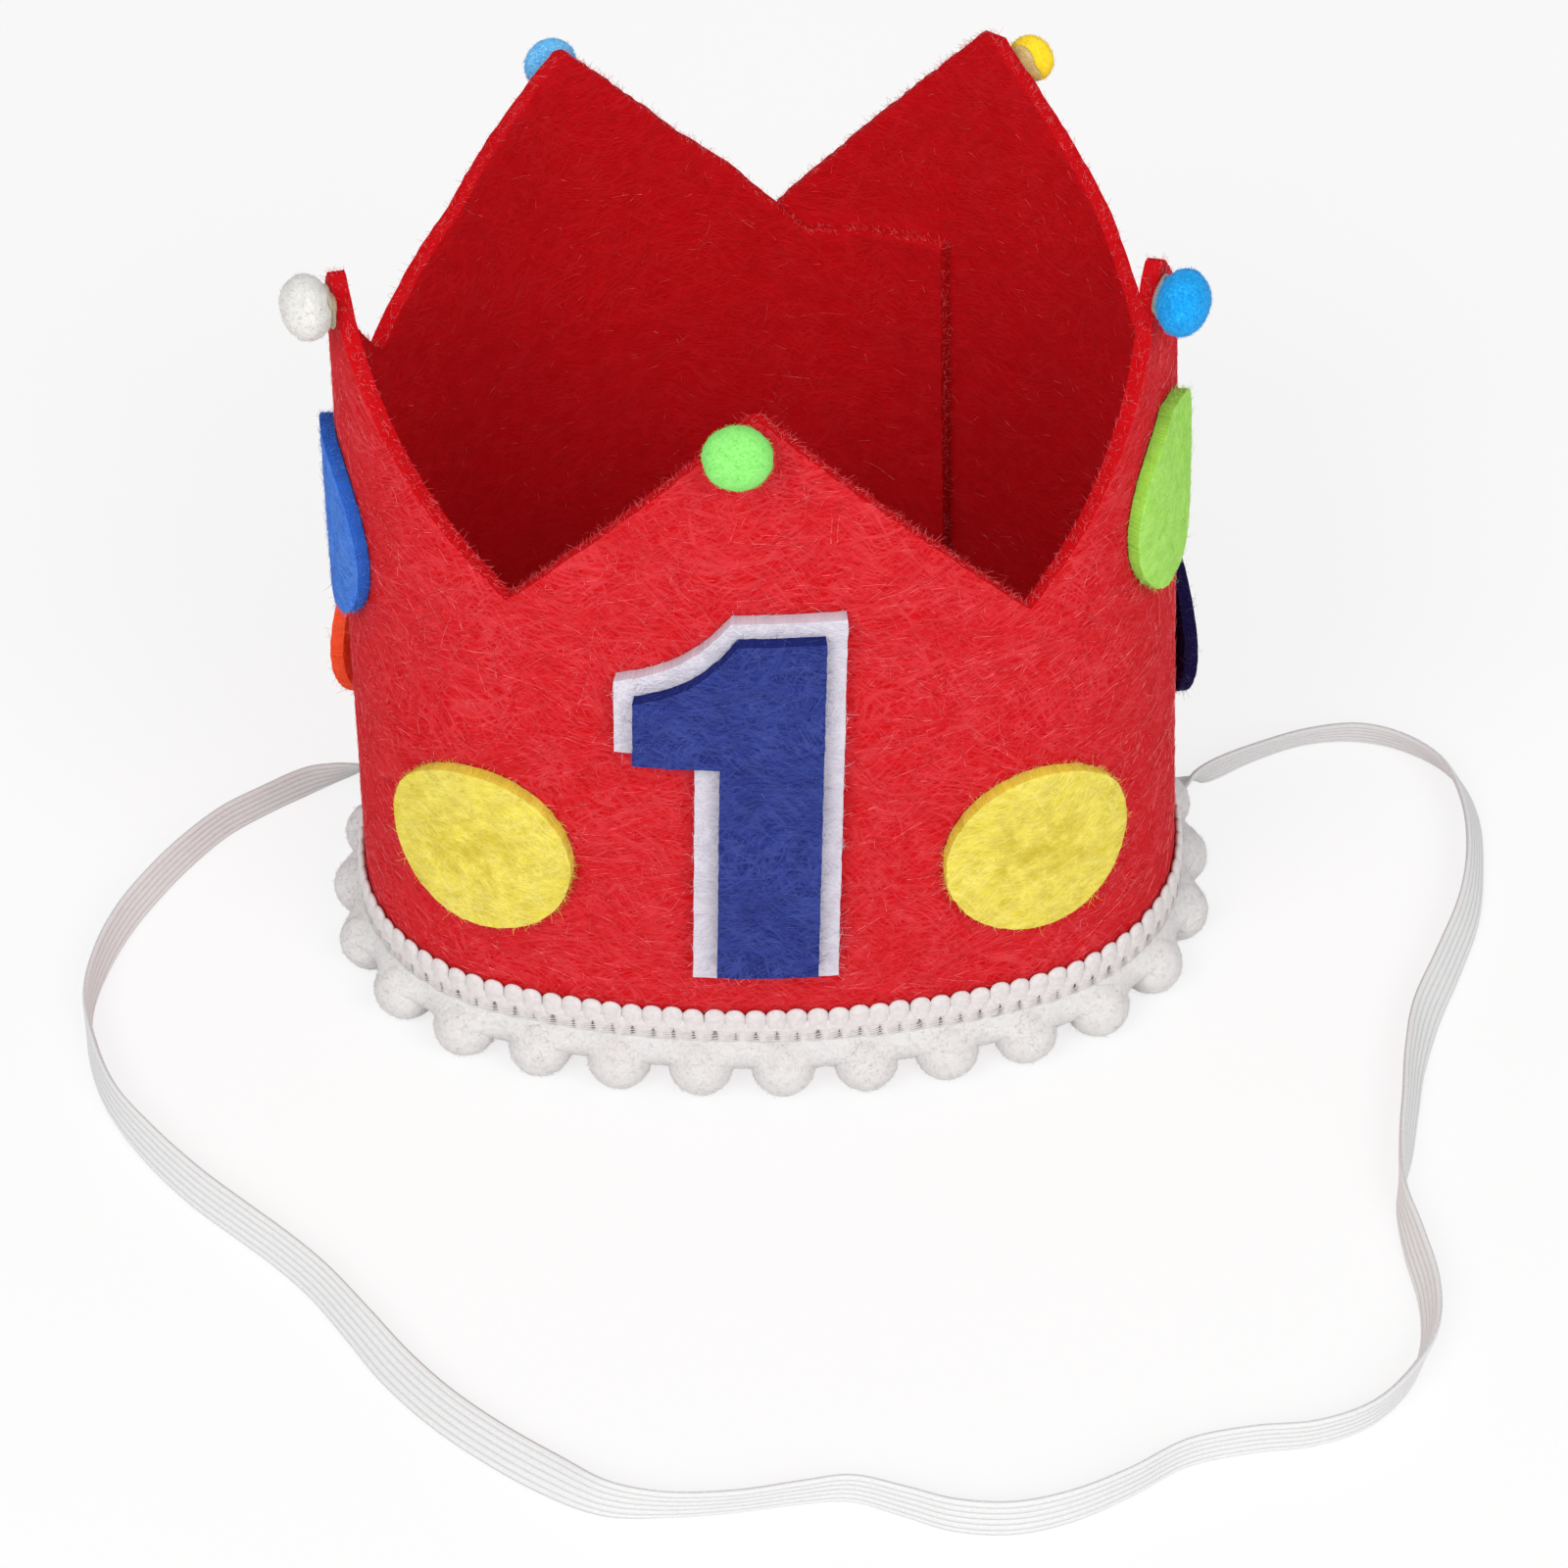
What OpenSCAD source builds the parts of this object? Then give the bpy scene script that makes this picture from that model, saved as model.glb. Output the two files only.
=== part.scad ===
// Felt party crown on an elastic chin strap.
// Units are mm, +Z is up, the floor is z = 0 and the numeral faces -Y.
// The crown is drawn as flat cut sheets and rolled onto one oval ring.
// A flat pattern is given as s (along the strip, 0 at the front centre, plus to the wearer's
// left, which is +X) and z (height above the floor).

/* [Crown ring] */
// Half of the outside width of the felt at the trim, along X
half_width = 62; // [48:1:80]
// Depth from the side arcs to the front of the felt
front_depth = 38; // [34:1:60]
// Depth from the side arcs to the back of the felt
back_depth = 66; // [50:1:80]
// Radius of the two front corners of the oval
corner_radius = 33; // [24:1:36]
// Inward lean of the walls, in degrees
wall_lean = 1.2; // [0:0.1:3]
// Extra inward lean of the two side points, in degrees
side_point_lean = 1.7; // [0:0.1:4]

/* [Felt band] */
// Thickness of the felt of the band
band_felt = 2.4; // [1.5:0.1:4]
// Height of the points above the floor
point_height = 124.5; // [105:0.5:150]
// Height of the valleys between the points
valley_height = 88; // [72:0.5:100]
// Height of the felt's lower edge, behind the trim
felt_bottom = 10.6; // [10.5:0.1:14]
// Width of the blunt end of each point
point_blunt = 1.6; // [0.4:0.2:6]
// Length of the tab that laps inside at the back
lap_length = 24; // [10:1:34]
// Space between the two layers of the lap
lap_gap = 0.1; // [0.1:0.1:1]
// Length of strip over which its first end passes to the inside
lap_slope = 13; // [8:1:20]
// Distance of the back valley from the middle of the back
seam_shift = 8; // [0:0.5:16]
// Hollow of the cut between the back valley and the back left point
seam_hollow = 1.8; // [0:0.1:4]

/* [Spots] */
// Diameter of the felt spots
spot_diameter = 28.8; // [16:0.2:36]
// Thickness of the felt of spots and numeral
patch_felt = 2; // [1:0.1:3]
// Height of the middle of the spots on the points
high_spot_height = 86; // [76:0.5:95]
// Height of the middle of the spots under the valleys
low_spot_height = 42.4; // [34:0.5:60]

/* [Numeral] */
// Width of the numeral's stem, on the blue layer
stem_width = 14.3; // [8:0.1:20]
// Reach of the numeral's flag to the side of the stem
flag_reach = 12; // [6:0.1:18]
// Height of the blue layer
numeral_height = 61.6; // [40:0.5:70]
// Height of the bottom of the blue layer above the floor
numeral_bottom = 25.6; // [20:0.2:40]
// White border round the blue layer
numeral_border = 3; // [1:0.1:5]
// Tilt of the numeral on the band, in degrees
numeral_tilt = 2; // [-5:0.1:5]
// Place of the stem's right edge along the band
stem_edge = 8.2; // [0:0.1:16]

/* [Pompoms on the points] */
// Diameter of the front pompom
front_pompom = 9.8; // [6:0.1:16]
// Diameter of the other pompoms
side_pompom = 9.6; // [6:0.1:16]
// Thickness of a pompom that is pressed onto the felt, as a share of its diameter
pompom_press = 0.76; // [0.6:0.02:1]
// Diameter of a dab of glue
glue_dab = 4.6; // [3:0.1:8]

/* [Trim] */
// Diameter of a ball of the trim
ball_diameter = 10; // [6:0.1:14]
// Number of balls round the crown
ball_count = 30; // [16:1:34]
// Depth of the flat spot that a ball rests on
ball_flat = 0.15; // [0.05:0.05:0.6]
// Height of the tape's lower edge above the floor
tape_bottom = 4.4; // [3:0.1:8]
// Height of the tape from its lower to its upper edge
tape_height = 11.4; // [7:0.1:16]
// Thickness of the tape
tape_thickness = 0.9; // [0.5:0.1:2]
// Number of loops on the tape's upper edge for each ball
loops_per_ball = 4; // [2:1:6]
// Depth of the notches between the loops
loop_notch = 0.9; // [0.2:0.1:2]

/* [Chin strap] */
// Width of the elastic
strap_width = 6; // [3:0.1:10]
// Thickness of the elastic
strap_thickness = 0.9; // [0.5:0.1:2]

/* [Hidden] */
$fn = 48;

// how far two glued layers stay apart, so that faceted sheets never cut into each other
glue_line = 0.15;

felt_red = "#d3202c";
patch_white = "#e4e2ee";
patch_blue = "#2e42a0";
trim_white = "#efefef";

// The oval is four tangent arcs: a flat front arc, two corner arcs and one long back arc.
arc_x = half_width - corner_radius;
front_rise = front_depth - corner_radius;
back_rise = back_depth - corner_radius;
front_centre = (arc_x * arc_x - front_rise * front_rise) / (2 * front_rise);
back_centre = (arc_x * arc_x - back_rise * back_rise) / (2 * back_rise);
front_radius = corner_radius + norm([arc_x, front_centre]);
back_radius = corner_radius + norm([arc_x, back_centre]);
front_turn = atan2(arc_x, front_centre);
back_turn = atan2(arc_x, back_centre);
corner_turn = 180 - front_turn - back_turn;
front_length = front_radius * front_turn * PI / 180;
corner_length = corner_radius * corner_turn * PI / 180;
back_length = back_radius * back_turn * PI / 180;
half_ring = front_length + corner_length + back_length;
ring = 2 * half_ring;
// five points, a fifth of the ring apart
point_pitch = ring / 5;
// the oval is centred on the origin
shift_y = (front_depth - back_depth) / 2;

// the trim is laid round the ring, so heights of leaning walls count from its upper edge
tape_top = tape_bottom + tape_height;

function wrap(s) = s > half_ring ? s - ring : s < -half_ring ? s + ring : s;

// how far the wall has turned from facing -Y, in degrees, at a length u >= 0
function turned(u) =
    u <= front_length ? u / front_radius * 180 / PI :
    u <= front_length + corner_length ? front_turn + (u - front_length) / corner_radius * 180 / PI :
    front_turn + corner_turn + (u - front_length - corner_length) / back_radius * 180 / PI;

// the place on the ring at a length u >= 0
function on_ring(u) = let (a = turned(u))
    u <= front_length ? [front_radius * sin(a), front_centre - front_radius * cos(a)] :
    u <= front_length + corner_length ? [arc_x + corner_radius * sin(a), -corner_radius * cos(a)] :
    [back_radius * sin(a), -back_centre - back_radius * cos(a)];

function side(s) = s < 0 ? -1 : 1;
function facing(s) = let (t = wrap(s)) side(t) * turned(abs(t));

// The walls lean in a little more at the side points and bulge between them and the back.
function lean(s) = wall_lean + lookup(wrap(s) / point_pitch, [
    [-2.05, 0], [-1.75, 0.8], [-1.45, -1.2], [-1.26, 0], [-0.96, 0.25 * side_point_lean],
    [-0.66, 0], [0.66, 0], [0.96, 0.9 * side_point_lean], [1.26, 0], [1.45, -1.8], [1.67, -1.8],
    [1.91, 0]]);

// The one place where flat patterns meet the ring: a point s along the strip, z high and
// out millimetres outside the band's outer face.
function roll(s, z, out) = let (t = wrap(s), p = on_ring(abs(t)), a = facing(s),
        o = out - (z - tape_top) * tan(lean(s)))
    [side(t) * p[0] + o * sin(a), p[1] + shift_y - o * cos(a), z];

// A flat pattern is a list of columns [s, low, high, out]. It is rolled onto the ring as a sheet
// from_out to to_out thick, with a number of rows up its height and sheared by slant.
module rolled_sheet(columns, from_out, to_out, rows = 1, slant = 0) {
    n = len(columns);
    m = rows + 1;
    points = [for (out = [to_out, from_out]) for (c = columns) for (j = [0:rows])
        let (z = c[1] + (c[2] - c[1]) * j / rows)
        roll(c[0] + slant * z, z, out + c[3])];
    function at(layer, i, j) = (layer * n + i) * m + j;
    faces = concat(
        [for (i = [0:n - 2]) for (j = [0:rows - 1]) for (f = [
            [at(0, i, j), at(0, i, j + 1), at(0, i + 1, j + 1)],
            [at(0, i, j), at(0, i + 1, j + 1), at(0, i + 1, j)],
            [at(1, i, j), at(1, i + 1, j + 1), at(1, i, j + 1)],
            [at(1, i, j), at(1, i + 1, j), at(1, i + 1, j + 1)]]) f],
        [for (i = [0:n - 2]) for (f = [
            [at(0, i, 0), at(0, i + 1, 0), at(1, i + 1, 0)],
            [at(0, i, 0), at(1, i + 1, 0), at(1, i, 0)],
            [at(0, i, rows), at(1, i + 1, rows), at(0, i + 1, rows)],
            [at(0, i, rows), at(1, i, rows), at(1, i + 1, rows)]]) f],
        [for (j = [0:rows - 1]) for (f = [
            [at(0, 0, j), at(1, 0, j), at(1, 0, j + 1)],
            [at(0, 0, j), at(1, 0, j + 1), at(0, 0, j + 1)],
            [at(0, n - 1, j), at(1, n - 1, j + 1), at(1, n - 1, j)],
            [at(0, n - 1, j), at(0, n - 1, j + 1), at(1, n - 1, j + 1)]]) f]);
    polyhedron(points = points, faces = faces);
}

// The band's own pattern. The lists give, for each point from the back left to the back right,
// the place of its tip, how much higher than point_height it is and how blunt it was cut, then
// the same for the valleys.
tip_places = [-2 * point_pitch - 5.2, -point_pitch, 0.6, point_pitch, 2 * point_pitch - 3];
tip_heights = [-2.8, 2.5, -2.8, 2, 1.5];
tip_blunts = [1, 1, 1, 1, 2.2] * point_blunt;
valley_places = [-1.5 * point_pitch + 1, -0.5 * point_pitch + 0.6, 0.5 * point_pitch + 2.4,
    1.5 * point_pitch];
valley_heights = [2, 0.4, -3.4, 0];
// the strip begins with its tab and ends in the back valley, outside the tab
seam = -half_ring - seam_shift;
strip_start = seam - lap_length;
strip_end = half_ring - 3;
seam_height = valley_height - 2;
cut_edge = concat(
    [[strip_start, valley_height], [seam, seam_height],
        [(seam + tip_places[0]) / 2, (seam_height + point_height + tip_heights[0]) / 2 - seam_hollow]],
    [for (i = [0:4]) for (v = [
        [tip_places[i] - tip_blunts[i] / 2, point_height + tip_heights[i]],
        [tip_places[i] + tip_blunts[i] / 2, point_height + tip_heights[i]],
        i < 4 ? [valley_places[i], valley_height + valley_heights[i]] :
            [strip_end, valley_height + 1]]) v]);
function steps(a, b) = max(1, ceil((b - a) / 4));
// from here on towards its tab the strip passes inside its own outer layer
inner_from = strip_end - ring - 2;
function lap_out(s) = -(band_felt + lap_gap)
    * (s >= inner_from + lap_slope ? 0 : s <= inner_from ? 1 :
        (1 - cos(180 * (inner_from + lap_slope - s) / lap_slope)) / 2);
band_columns = concat(
    [for (i = [0:len(cut_edge) - 2]) let (a = cut_edge[i], b = cut_edge[i + 1], n = steps(a[0], b[0]))
        for (k = [0:n - 1]) let (s = a[0] + (b[0] - a[0]) * k / n)
            [s, felt_bottom, a[1] + (b[1] - a[1]) * k / n, lap_out(s)]],
    [[strip_end, felt_bottom, cut_edge[len(cut_edge) - 1][1], 0]]);

module felt_band() {
    color(felt_red) rolled_sheet(band_columns, -band_felt, 0, rows = 3);
}

// The spots: middle s, middle z, colour, and how far the rims in front and behind stand off the
// wall where a spot is glued only in its middle. The two on the back points can't be seen.
spots = [
    [-0.58 * point_pitch, low_spot_height, "#ebdc46", 0],
    [0.55 * point_pitch, low_spot_height - 1.2, "#ebdc46", 0],
    [-point_pitch - 3, high_spot_height - 2, "#3264cd", 0],
    [point_pitch - 2, high_spot_height + 3.2, "#96e150", 0],
    [-1.47 * point_pitch, low_spot_height, "#ff551e", 2.8],
    [1.43 * point_pitch, low_spot_height, "#23236e", 1.8],
    [-2 * point_pitch - 4, high_spot_height, "#96e150", 0],
    [2 * point_pitch - 2.5, high_spot_height, "#3264cd", 0]];
spot_steps = 18;

module spot(i) {
    r = spot_diameter / 2;
    columns = [for (k = [0:spot_steps]) let (a = -88 + 176 * k / spot_steps)
        [spots[i][0] + r * sin(a), spots[i][1] - r * cos(a), spots[i][1] + r * cos(a),
            spots[i][3] * sin(a) * sin(a)]];
    color(spots[i][2]) rolled_sheet(columns, glue_line, glue_line + patch_felt, rows = 2);
}

// One numeral for both layers; grow is the border that the white layer shows round the blue.
flag_bottom = numeral_bottom + 0.642 * numeral_height;
flag_top = numeral_bottom + 0.824 * numeral_height;
numeral_top = numeral_bottom + numeral_height;
numeral_slant = tan(numeral_tilt);
numeral_middle = numeral_bottom + numeral_height / 2;
function numeral_columns(grow) = let (
        right = stem_edge + grow, left = stem_edge - stem_width - 1.2 * grow,
        tip = stem_edge - stem_width - flag_reach - grow, bend = left + 2.2 + 1.2 * grow * 0.75,
        low = numeral_bottom - 0.65 * grow, high = numeral_top + 0.8 * grow,
        under = flag_bottom + 0.2 * grow, over = flag_top + 0.7 * grow, n = 8,
        back = -numeral_slant * numeral_middle)
    concat(
        [for (k = [0:n]) let (f = k / n, s = tip + (left - tip) * f, g = (s - tip) / (bend - tip))
            [s + back, under, over + (high - over) * (0.42 * g + 0.58 * g * g * g), 0]],
        [let (g = (left + 0.02 - tip) / (bend - tip))
            [left + 0.02 + back, low, over + (high - over) * (0.42 * g + 0.58 * g * g * g), 0]],
        [[bend + back, low, high, 0], [(bend + right) / 2 + back, low, high, 0],
            [right - 3 + back, low, high, 0], [right + back, low, high, 0]]);

module numeral_backing() {
    color(patch_white) rolled_sheet(numeral_columns(numeral_border), glue_line,
        glue_line + patch_felt, rows = 3, slant = numeral_slant);
}

module numeral_face() {
    color(patch_blue) rolled_sheet(numeral_columns(0), 2 * glue_line + patch_felt,
        2 * glue_line + 2 * patch_felt, rows = 3, slant = numeral_slant);
}

// The pompoms: the point, its diameter, how far to the side of and below the tip, its colour.
pompoms = [
    [2, front_pompom, -2.6, 2.4, "#78f06e"],
    [3, side_pompom + 0.2, -4.8, 3, "#199beb"],
    [1, side_pompom, 3.4, 2.2, "#ebebe6"],
    [0, side_pompom - 1.2, -0.4, 4.6, "#6ec3f5"],
    [4, side_pompom - 2.2, -4, 4.5, "#ffe128"]];
function pompom_s(i) = tip_places[pompoms[i][0]] + pompoms[i][2];
function pompom_z(i) = point_height + tip_heights[pompoms[i][0]] - pompoms[i][3];
// the ball stands off the felt by the thin middle of its dab of glue
dab_film = 0.4;
dab_height = 1.7;

// how far the middle of a pressed pompom stands out of the felt
function pompom_out(i) = pompoms[i][1] / 2 * pompom_press + dab_film;

module on_wall(s, z, out) {
    translate(roll(s, z, out)) rotate([0, 0, facing(s)]) children();
}

module pompom(i) {
    color(pompoms[i][4]) on_wall(pompom_s(i), pompom_z(i), pompom_out(i))
        scale([1, pompom_press, 1]) sphere(d = pompoms[i][1]);
}

// how far the leaning wall stands out of the dab's flat back, at the dab's rim
function proud(i) = let (s = pompom_s(i), z = pompom_z(i), r = glue_dab / 2, a = facing(s))
    max([for (t = [0:45:315]) (roll(s + r * cos(t), z + r * sin(t), 0) - roll(s, z, 0))
        * [sin(a), -cos(a), 0]]);

module glue(i) {
    from = glue_line + max(0, proud(i));
    color("#e8e4d4") on_wall(pompom_s(i), pompom_z(i), 0) difference() {
        translate([0, -from, 0]) rotate([90, 0, 0]) cylinder(h = dab_height - from, d = glue_dab);
        translate([0, -pompom_out(i), 0]) scale([1, pompom_press, 1]) sphere(d = pompoms[i][1]);
    }
}

// The trim: one tape round the band, and the balls in slots on its lower edge.
tape_from = glue_line;
tape_to = tape_from + tape_thickness;
// the tape's ends meet a little beside the middle of the back
tape_seam = 6;
trim_start = -half_ring + tape_seam;
trim_gap = 1;
// how deep the upper edge is cut at the quarters of a loop, from one notch to the next
loop_shape = [1, 0.22, 0, 0.22];
trim_columns = let (n = 4 * loops_per_ball * ball_count, step = (ring - trim_gap) / n)
    [for (k = [0:n])
        [trim_start + step * k, tape_bottom, tape_top - loop_notch * loop_shape[k % 4], 0]];

module trim_tape() {
    color(trim_white) rolled_sheet(trim_columns, tape_from, tape_to);
}

ball_pitch = ring / ball_count;
ball_first = 1.8;
ball_middle = ball_diameter / 2 - ball_flat;
ball_out = tape_from + tape_thickness / 2;
// the tape bends inside the slot, so the slot has room on both faces
slot_room = 0.35;
function ball_s(i) = wrap(ball_first + i * ball_pitch);

module ball(i) {
    r = ball_diameter / 2;
    slot = tape_thickness + 2 * slot_room;
    color(trim_white) on_wall(ball_s(i), ball_middle, ball_out) difference() {
        sphere(d = ball_diameter);
        translate([-r, -r, -ball_middle - 1]) cube([2 * r, 2 * r, 1]);
        translate([-r - 1, -slot / 2, tape_bottom - ball_middle]) cube([2 * r + 2, slot, r + 1]);
    }
}

// The chin strap: a flat elastic that stands or leans on its edge on the floor.
// Each row is x, y, height of its lower edge and its lean from upright, in degrees.
strap_route = [
    [-57, -24, 12.2, 0], [-58.6, -17, 12, 0], [-58.4, -10, 11, 0], [-56.2, -3.4, 8.2, -10],
    [-53.4, 2.6, 4.6, -30], [-51.2, 8.4, 1.4, -60], [-50.6, 13, 0.2, -82], [-52.4, 16, 0.1, -90],
    [-56, 17.8, 0.1, -90], [-59.6, 19.4, 0.1, -88], [-63.2, 19.2, 0.1, -64], [-66.8, 17.6, 0.1, -38],
    [-70.6, 16.2, 0.1, -16], [-75, 14.2, 0.1, 0], [-81, 10, 0.1, 2],
    [-87, 5, 0.1, 7], [-92.4, -2, 0.1, 12], [-96.6, -9, 0.1, 15], [-100.4, -17, 0.1, 16],
    [-103, -26, 0.1, 13], [-104, -36, 0.1, 3], [-102, -46.6, 0.1, -8], [-98, -56.6, 0.1, -14],
    [-91.4, -66, 0.1, -24], [-84, -74.4, 0.1, -29], [-76.6, -81.4, 0.1, -28],
    [-70.6, -87, 0.1, -29], [-64.6, -93.4, 0.1, -33], [-58.6, -101.4, 0.1, -41],
    [-53, -109, 0.1, -52], [-46.4, -116.4, 0.1, -53], [-39, -123, 0.1, -50],
    [-31, -129, 0.1, -42], [-23, -134, 0.1, -16], [-14.6, -135.4, 0.1, 4],
    [-5, -135, 0.1, 11], [4, -133.6, 0.1, 9], [11, -133, 0.1, 2], [18, -135.4, 0.1, -4],
    [25, -138, 0.1, -8], [33, -138.6, 0.1, -8], [41, -136.6, 0.1, -6], [49, -132.6, 0.1, -2],
    [57, -127.6, 0.1, 0], [66, -125.4, 0.1, 2], [75, -124.4, 0.1, 5], [83, -121, 0.1, 6],
    [89, -114.6, 0.1, 8], [92.4, -107, 0.1, 20], [93.2, -98.4, 0.1, 26],
    [92, -88.6, 0.1, 24], [91.2, -79.4, 0.1, 4], [92.8, -70, 0.1, -18], [94.4, -61, 0.1, -24],
    [96, -52, 0.1, -32], [98.8, -41.6, 0.1, -44], [103.4, -30.6, 0.1, -41],
    [107.6, -19.6, 0.1, -35], [109.8, -8.6, 0.1, -27], [110.4, 3, 0.1, -30], [108.2, 12.8, 0.1, -28],
    [102.6, 19, 0.1, -22], [95, 22.2, 0.1, -20], [86.4, 21.6, 0.1, -24],
    [77.8, 18, 0.1, -20], [70, 13.4, 0.1, -14], [66.4, 12.2, 0.1, -52],
    [62.8, 11, 0.1, -89], [59.2, 9.8, 0.1, -90], [55.4, 8.4, 0.1, -90], [52.2, 5.6, 0.2, -76],
    [51.6, 1, 2, -50], [53, -4.4, 5.2, -24], [55.6, -9.8, 8.6, -6], [57.8, -14.6, 11.2, 0],
    [58.2, -20, 12, 0], [57, -24.4, 12.2, 0]];
strap_corners = let (w = strap_width / 2, t = strap_thickness / 2, c = 0.3 * strap_thickness)
    [[t, w - c], [t - c, w], [c - t, w], [-t, w - c], [-t, c - w], [c - t, -w], [t - c, -w], [t, c - w]];

function strap_middle(p) = [p[0], p[1],
    p[2] + abs(cos(p[3])) * strap_width / 2 + abs(sin(p[3])) * strap_thickness / 2];
function unit(v) = v / norm(v);
strap_line = [for (p = strap_route) strap_middle(p)];
function strap_way(i) = unit(strap_line[min(i + 1, len(strap_line) - 1)] - strap_line[max(i - 1, 0)]);

module elastic_strap() {
    n = len(strap_line);
    k = len(strap_corners);
    points = [for (i = [0:n - 1])
        let (d = strap_way(i), out = unit(cross(d, [0, 0, 1])), up = cross(out, d),
            a = strap_route[i][3],
            across = out * cos(a) - up * sin(a), along = up * cos(a) + out * sin(a))
        for (q = strap_corners) strap_line[i] + across * q[0] + along * q[1]];
    faces = concat(
        [for (i = [0:n - 2]) for (j = [0:k - 1]) for (f = [
            [i * k + j, i * k + (j + 1) % k, (i + 1) * k + (j + 1) % k],
            [i * k + j, (i + 1) * k + (j + 1) % k, (i + 1) * k + j]]) f],
        [[for (j = [k - 1:-1:0]) j]], [[for (j = [0:k - 1]) (n - 1) * k + j]]);
    color(trim_white) polyhedron(points = points, faces = faces);
}

SPOT_NAMES = ["spot_front_left", "spot_front_right", "spot_left_point", "spot_right_point",
    "spot_back_left", "spot_back_right", "spot_back_left_point", "spot_back_right_point"];
PLACES = ["front", "right", "left", "back_left", "back_right"];
BALL_NAMES = [for (i = [0:ball_count - 1]) str("trim_ball_", i + 1)];

felt_band();
numeral_backing();
numeral_face();
trim_tape();
elastic_strap();
for (i = [0:len(spots) - 1]) spot(i);
for (i = [0:4]) pompom(i);
for (i = [0:4]) glue(i);
for (i = [0:ball_count - 1]) ball(i);
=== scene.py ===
"""Looks of the felt party crown. It is cut flat, in millimetres, and rolled onto its ring."""

import math

import bmesh
import bpy
import numpy as np
from mathutils import Matrix, Vector


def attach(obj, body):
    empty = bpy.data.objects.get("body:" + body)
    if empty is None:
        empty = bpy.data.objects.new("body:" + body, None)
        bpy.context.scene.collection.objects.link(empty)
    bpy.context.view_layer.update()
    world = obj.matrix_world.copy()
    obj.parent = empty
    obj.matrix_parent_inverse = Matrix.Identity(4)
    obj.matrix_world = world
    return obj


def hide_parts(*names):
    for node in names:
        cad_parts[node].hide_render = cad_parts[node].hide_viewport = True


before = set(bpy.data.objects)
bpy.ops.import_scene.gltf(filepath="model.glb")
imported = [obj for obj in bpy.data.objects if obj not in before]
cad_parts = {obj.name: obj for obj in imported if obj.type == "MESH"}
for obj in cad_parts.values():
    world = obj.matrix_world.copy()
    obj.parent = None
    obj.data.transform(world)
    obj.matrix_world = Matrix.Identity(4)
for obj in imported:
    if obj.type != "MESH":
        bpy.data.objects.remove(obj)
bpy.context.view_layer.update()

MM = 0.001

# The ring: a flat front arc, two corner arcs and a long back arc, as in the part's source.
HALF_WIDTH = 62
FRONT_DEPTH = 38
BACK_DEPTH = 66
CORNER_RADIUS = 33
WALL_LEAN = 1.2
SIDE_POINT_LEAN = 1.7
ARC_X = HALF_WIDTH - CORNER_RADIUS
FRONT_RISE = FRONT_DEPTH - CORNER_RADIUS
BACK_RISE = BACK_DEPTH - CORNER_RADIUS
FRONT_CENTRE = (ARC_X**2 - FRONT_RISE**2) / (2 * FRONT_RISE)
BACK_CENTRE = (ARC_X**2 - BACK_RISE**2) / (2 * BACK_RISE)
FRONT_RADIUS = CORNER_RADIUS + math.hypot(ARC_X, FRONT_CENTRE)
BACK_RADIUS = CORNER_RADIUS + math.hypot(ARC_X, BACK_CENTRE)
FRONT_TURN = math.atan2(ARC_X, FRONT_CENTRE)
CORNER_TURN = math.pi - FRONT_TURN - math.atan2(ARC_X, BACK_CENTRE)
FRONT_LENGTH = FRONT_RADIUS * FRONT_TURN
CORNER_LENGTH = CORNER_RADIUS * CORNER_TURN
BACK_FROM = FRONT_LENGTH + CORNER_LENGTH
HALF_RING = BACK_FROM + BACK_RADIUS * math.atan2(ARC_X, BACK_CENTRE)
RING = 2 * HALF_RING
POINT_PITCH = RING / 5
SHIFT_Y = (FRONT_DEPTH - BACK_DEPTH) / 2
LEAN_AT = [-2.05, -1.75, -1.45, -1.26, -0.96, -0.66, 0.66, 0.96, 1.26, 1.45, 1.67, 1.91]
LEAN_ADDED = [0, 0.8, -1.2, 0, 0.25 * SIDE_POINT_LEAN, 0,
              0, 0.9 * SIDE_POINT_LEAN, 0, -1.8, -1.8, 0]

# The band and what is glued on it.
BAND_FELT = 2.4
PATCH_FELT = 2
# the sheets' mark "inland" is the distance to the cut edge, as a share of this
INLAND_SPAN = 20.0
GLUE_LINE = 0.15
FELT_BOTTOM = 10.6
POINT_HEIGHT = 124.5
VALLEY_HEIGHT = 88
TIP_PLACES = [-2 * POINT_PITCH - 5.2, -POINT_PITCH, 0.6, POINT_PITCH, 2 * POINT_PITCH - 3]
TIP_HEIGHTS = [-2.8, 2.5, -2.8, 2, 1.5]
TIP_BLUNTS = [1.6, 1.6, 1.6, 1.6, 3.52]
VALLEY_PLACES = [-1.5 * POINT_PITCH + 1, -0.5 * POINT_PITCH + 0.6, 0.5 * POINT_PITCH + 2.4,
                 1.5 * POINT_PITCH]
VALLEY_HEIGHTS = [2, 0.4, -3.4, 0]
SEAM = -HALF_RING - 8
SEAM_HEIGHT = VALLEY_HEIGHT - 2
SEAM_HOLLOW = 1.8
STRIP_START = SEAM - 24
STRIP_END = HALF_RING - 3
LAP_GAP = 0.1
LAP_SLOPE = 13
LAP_ROOM = 2
SPOT_RADIUS = 14.4
HIGH_SPOT = 86
LOW_SPOT = 42.4
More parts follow.
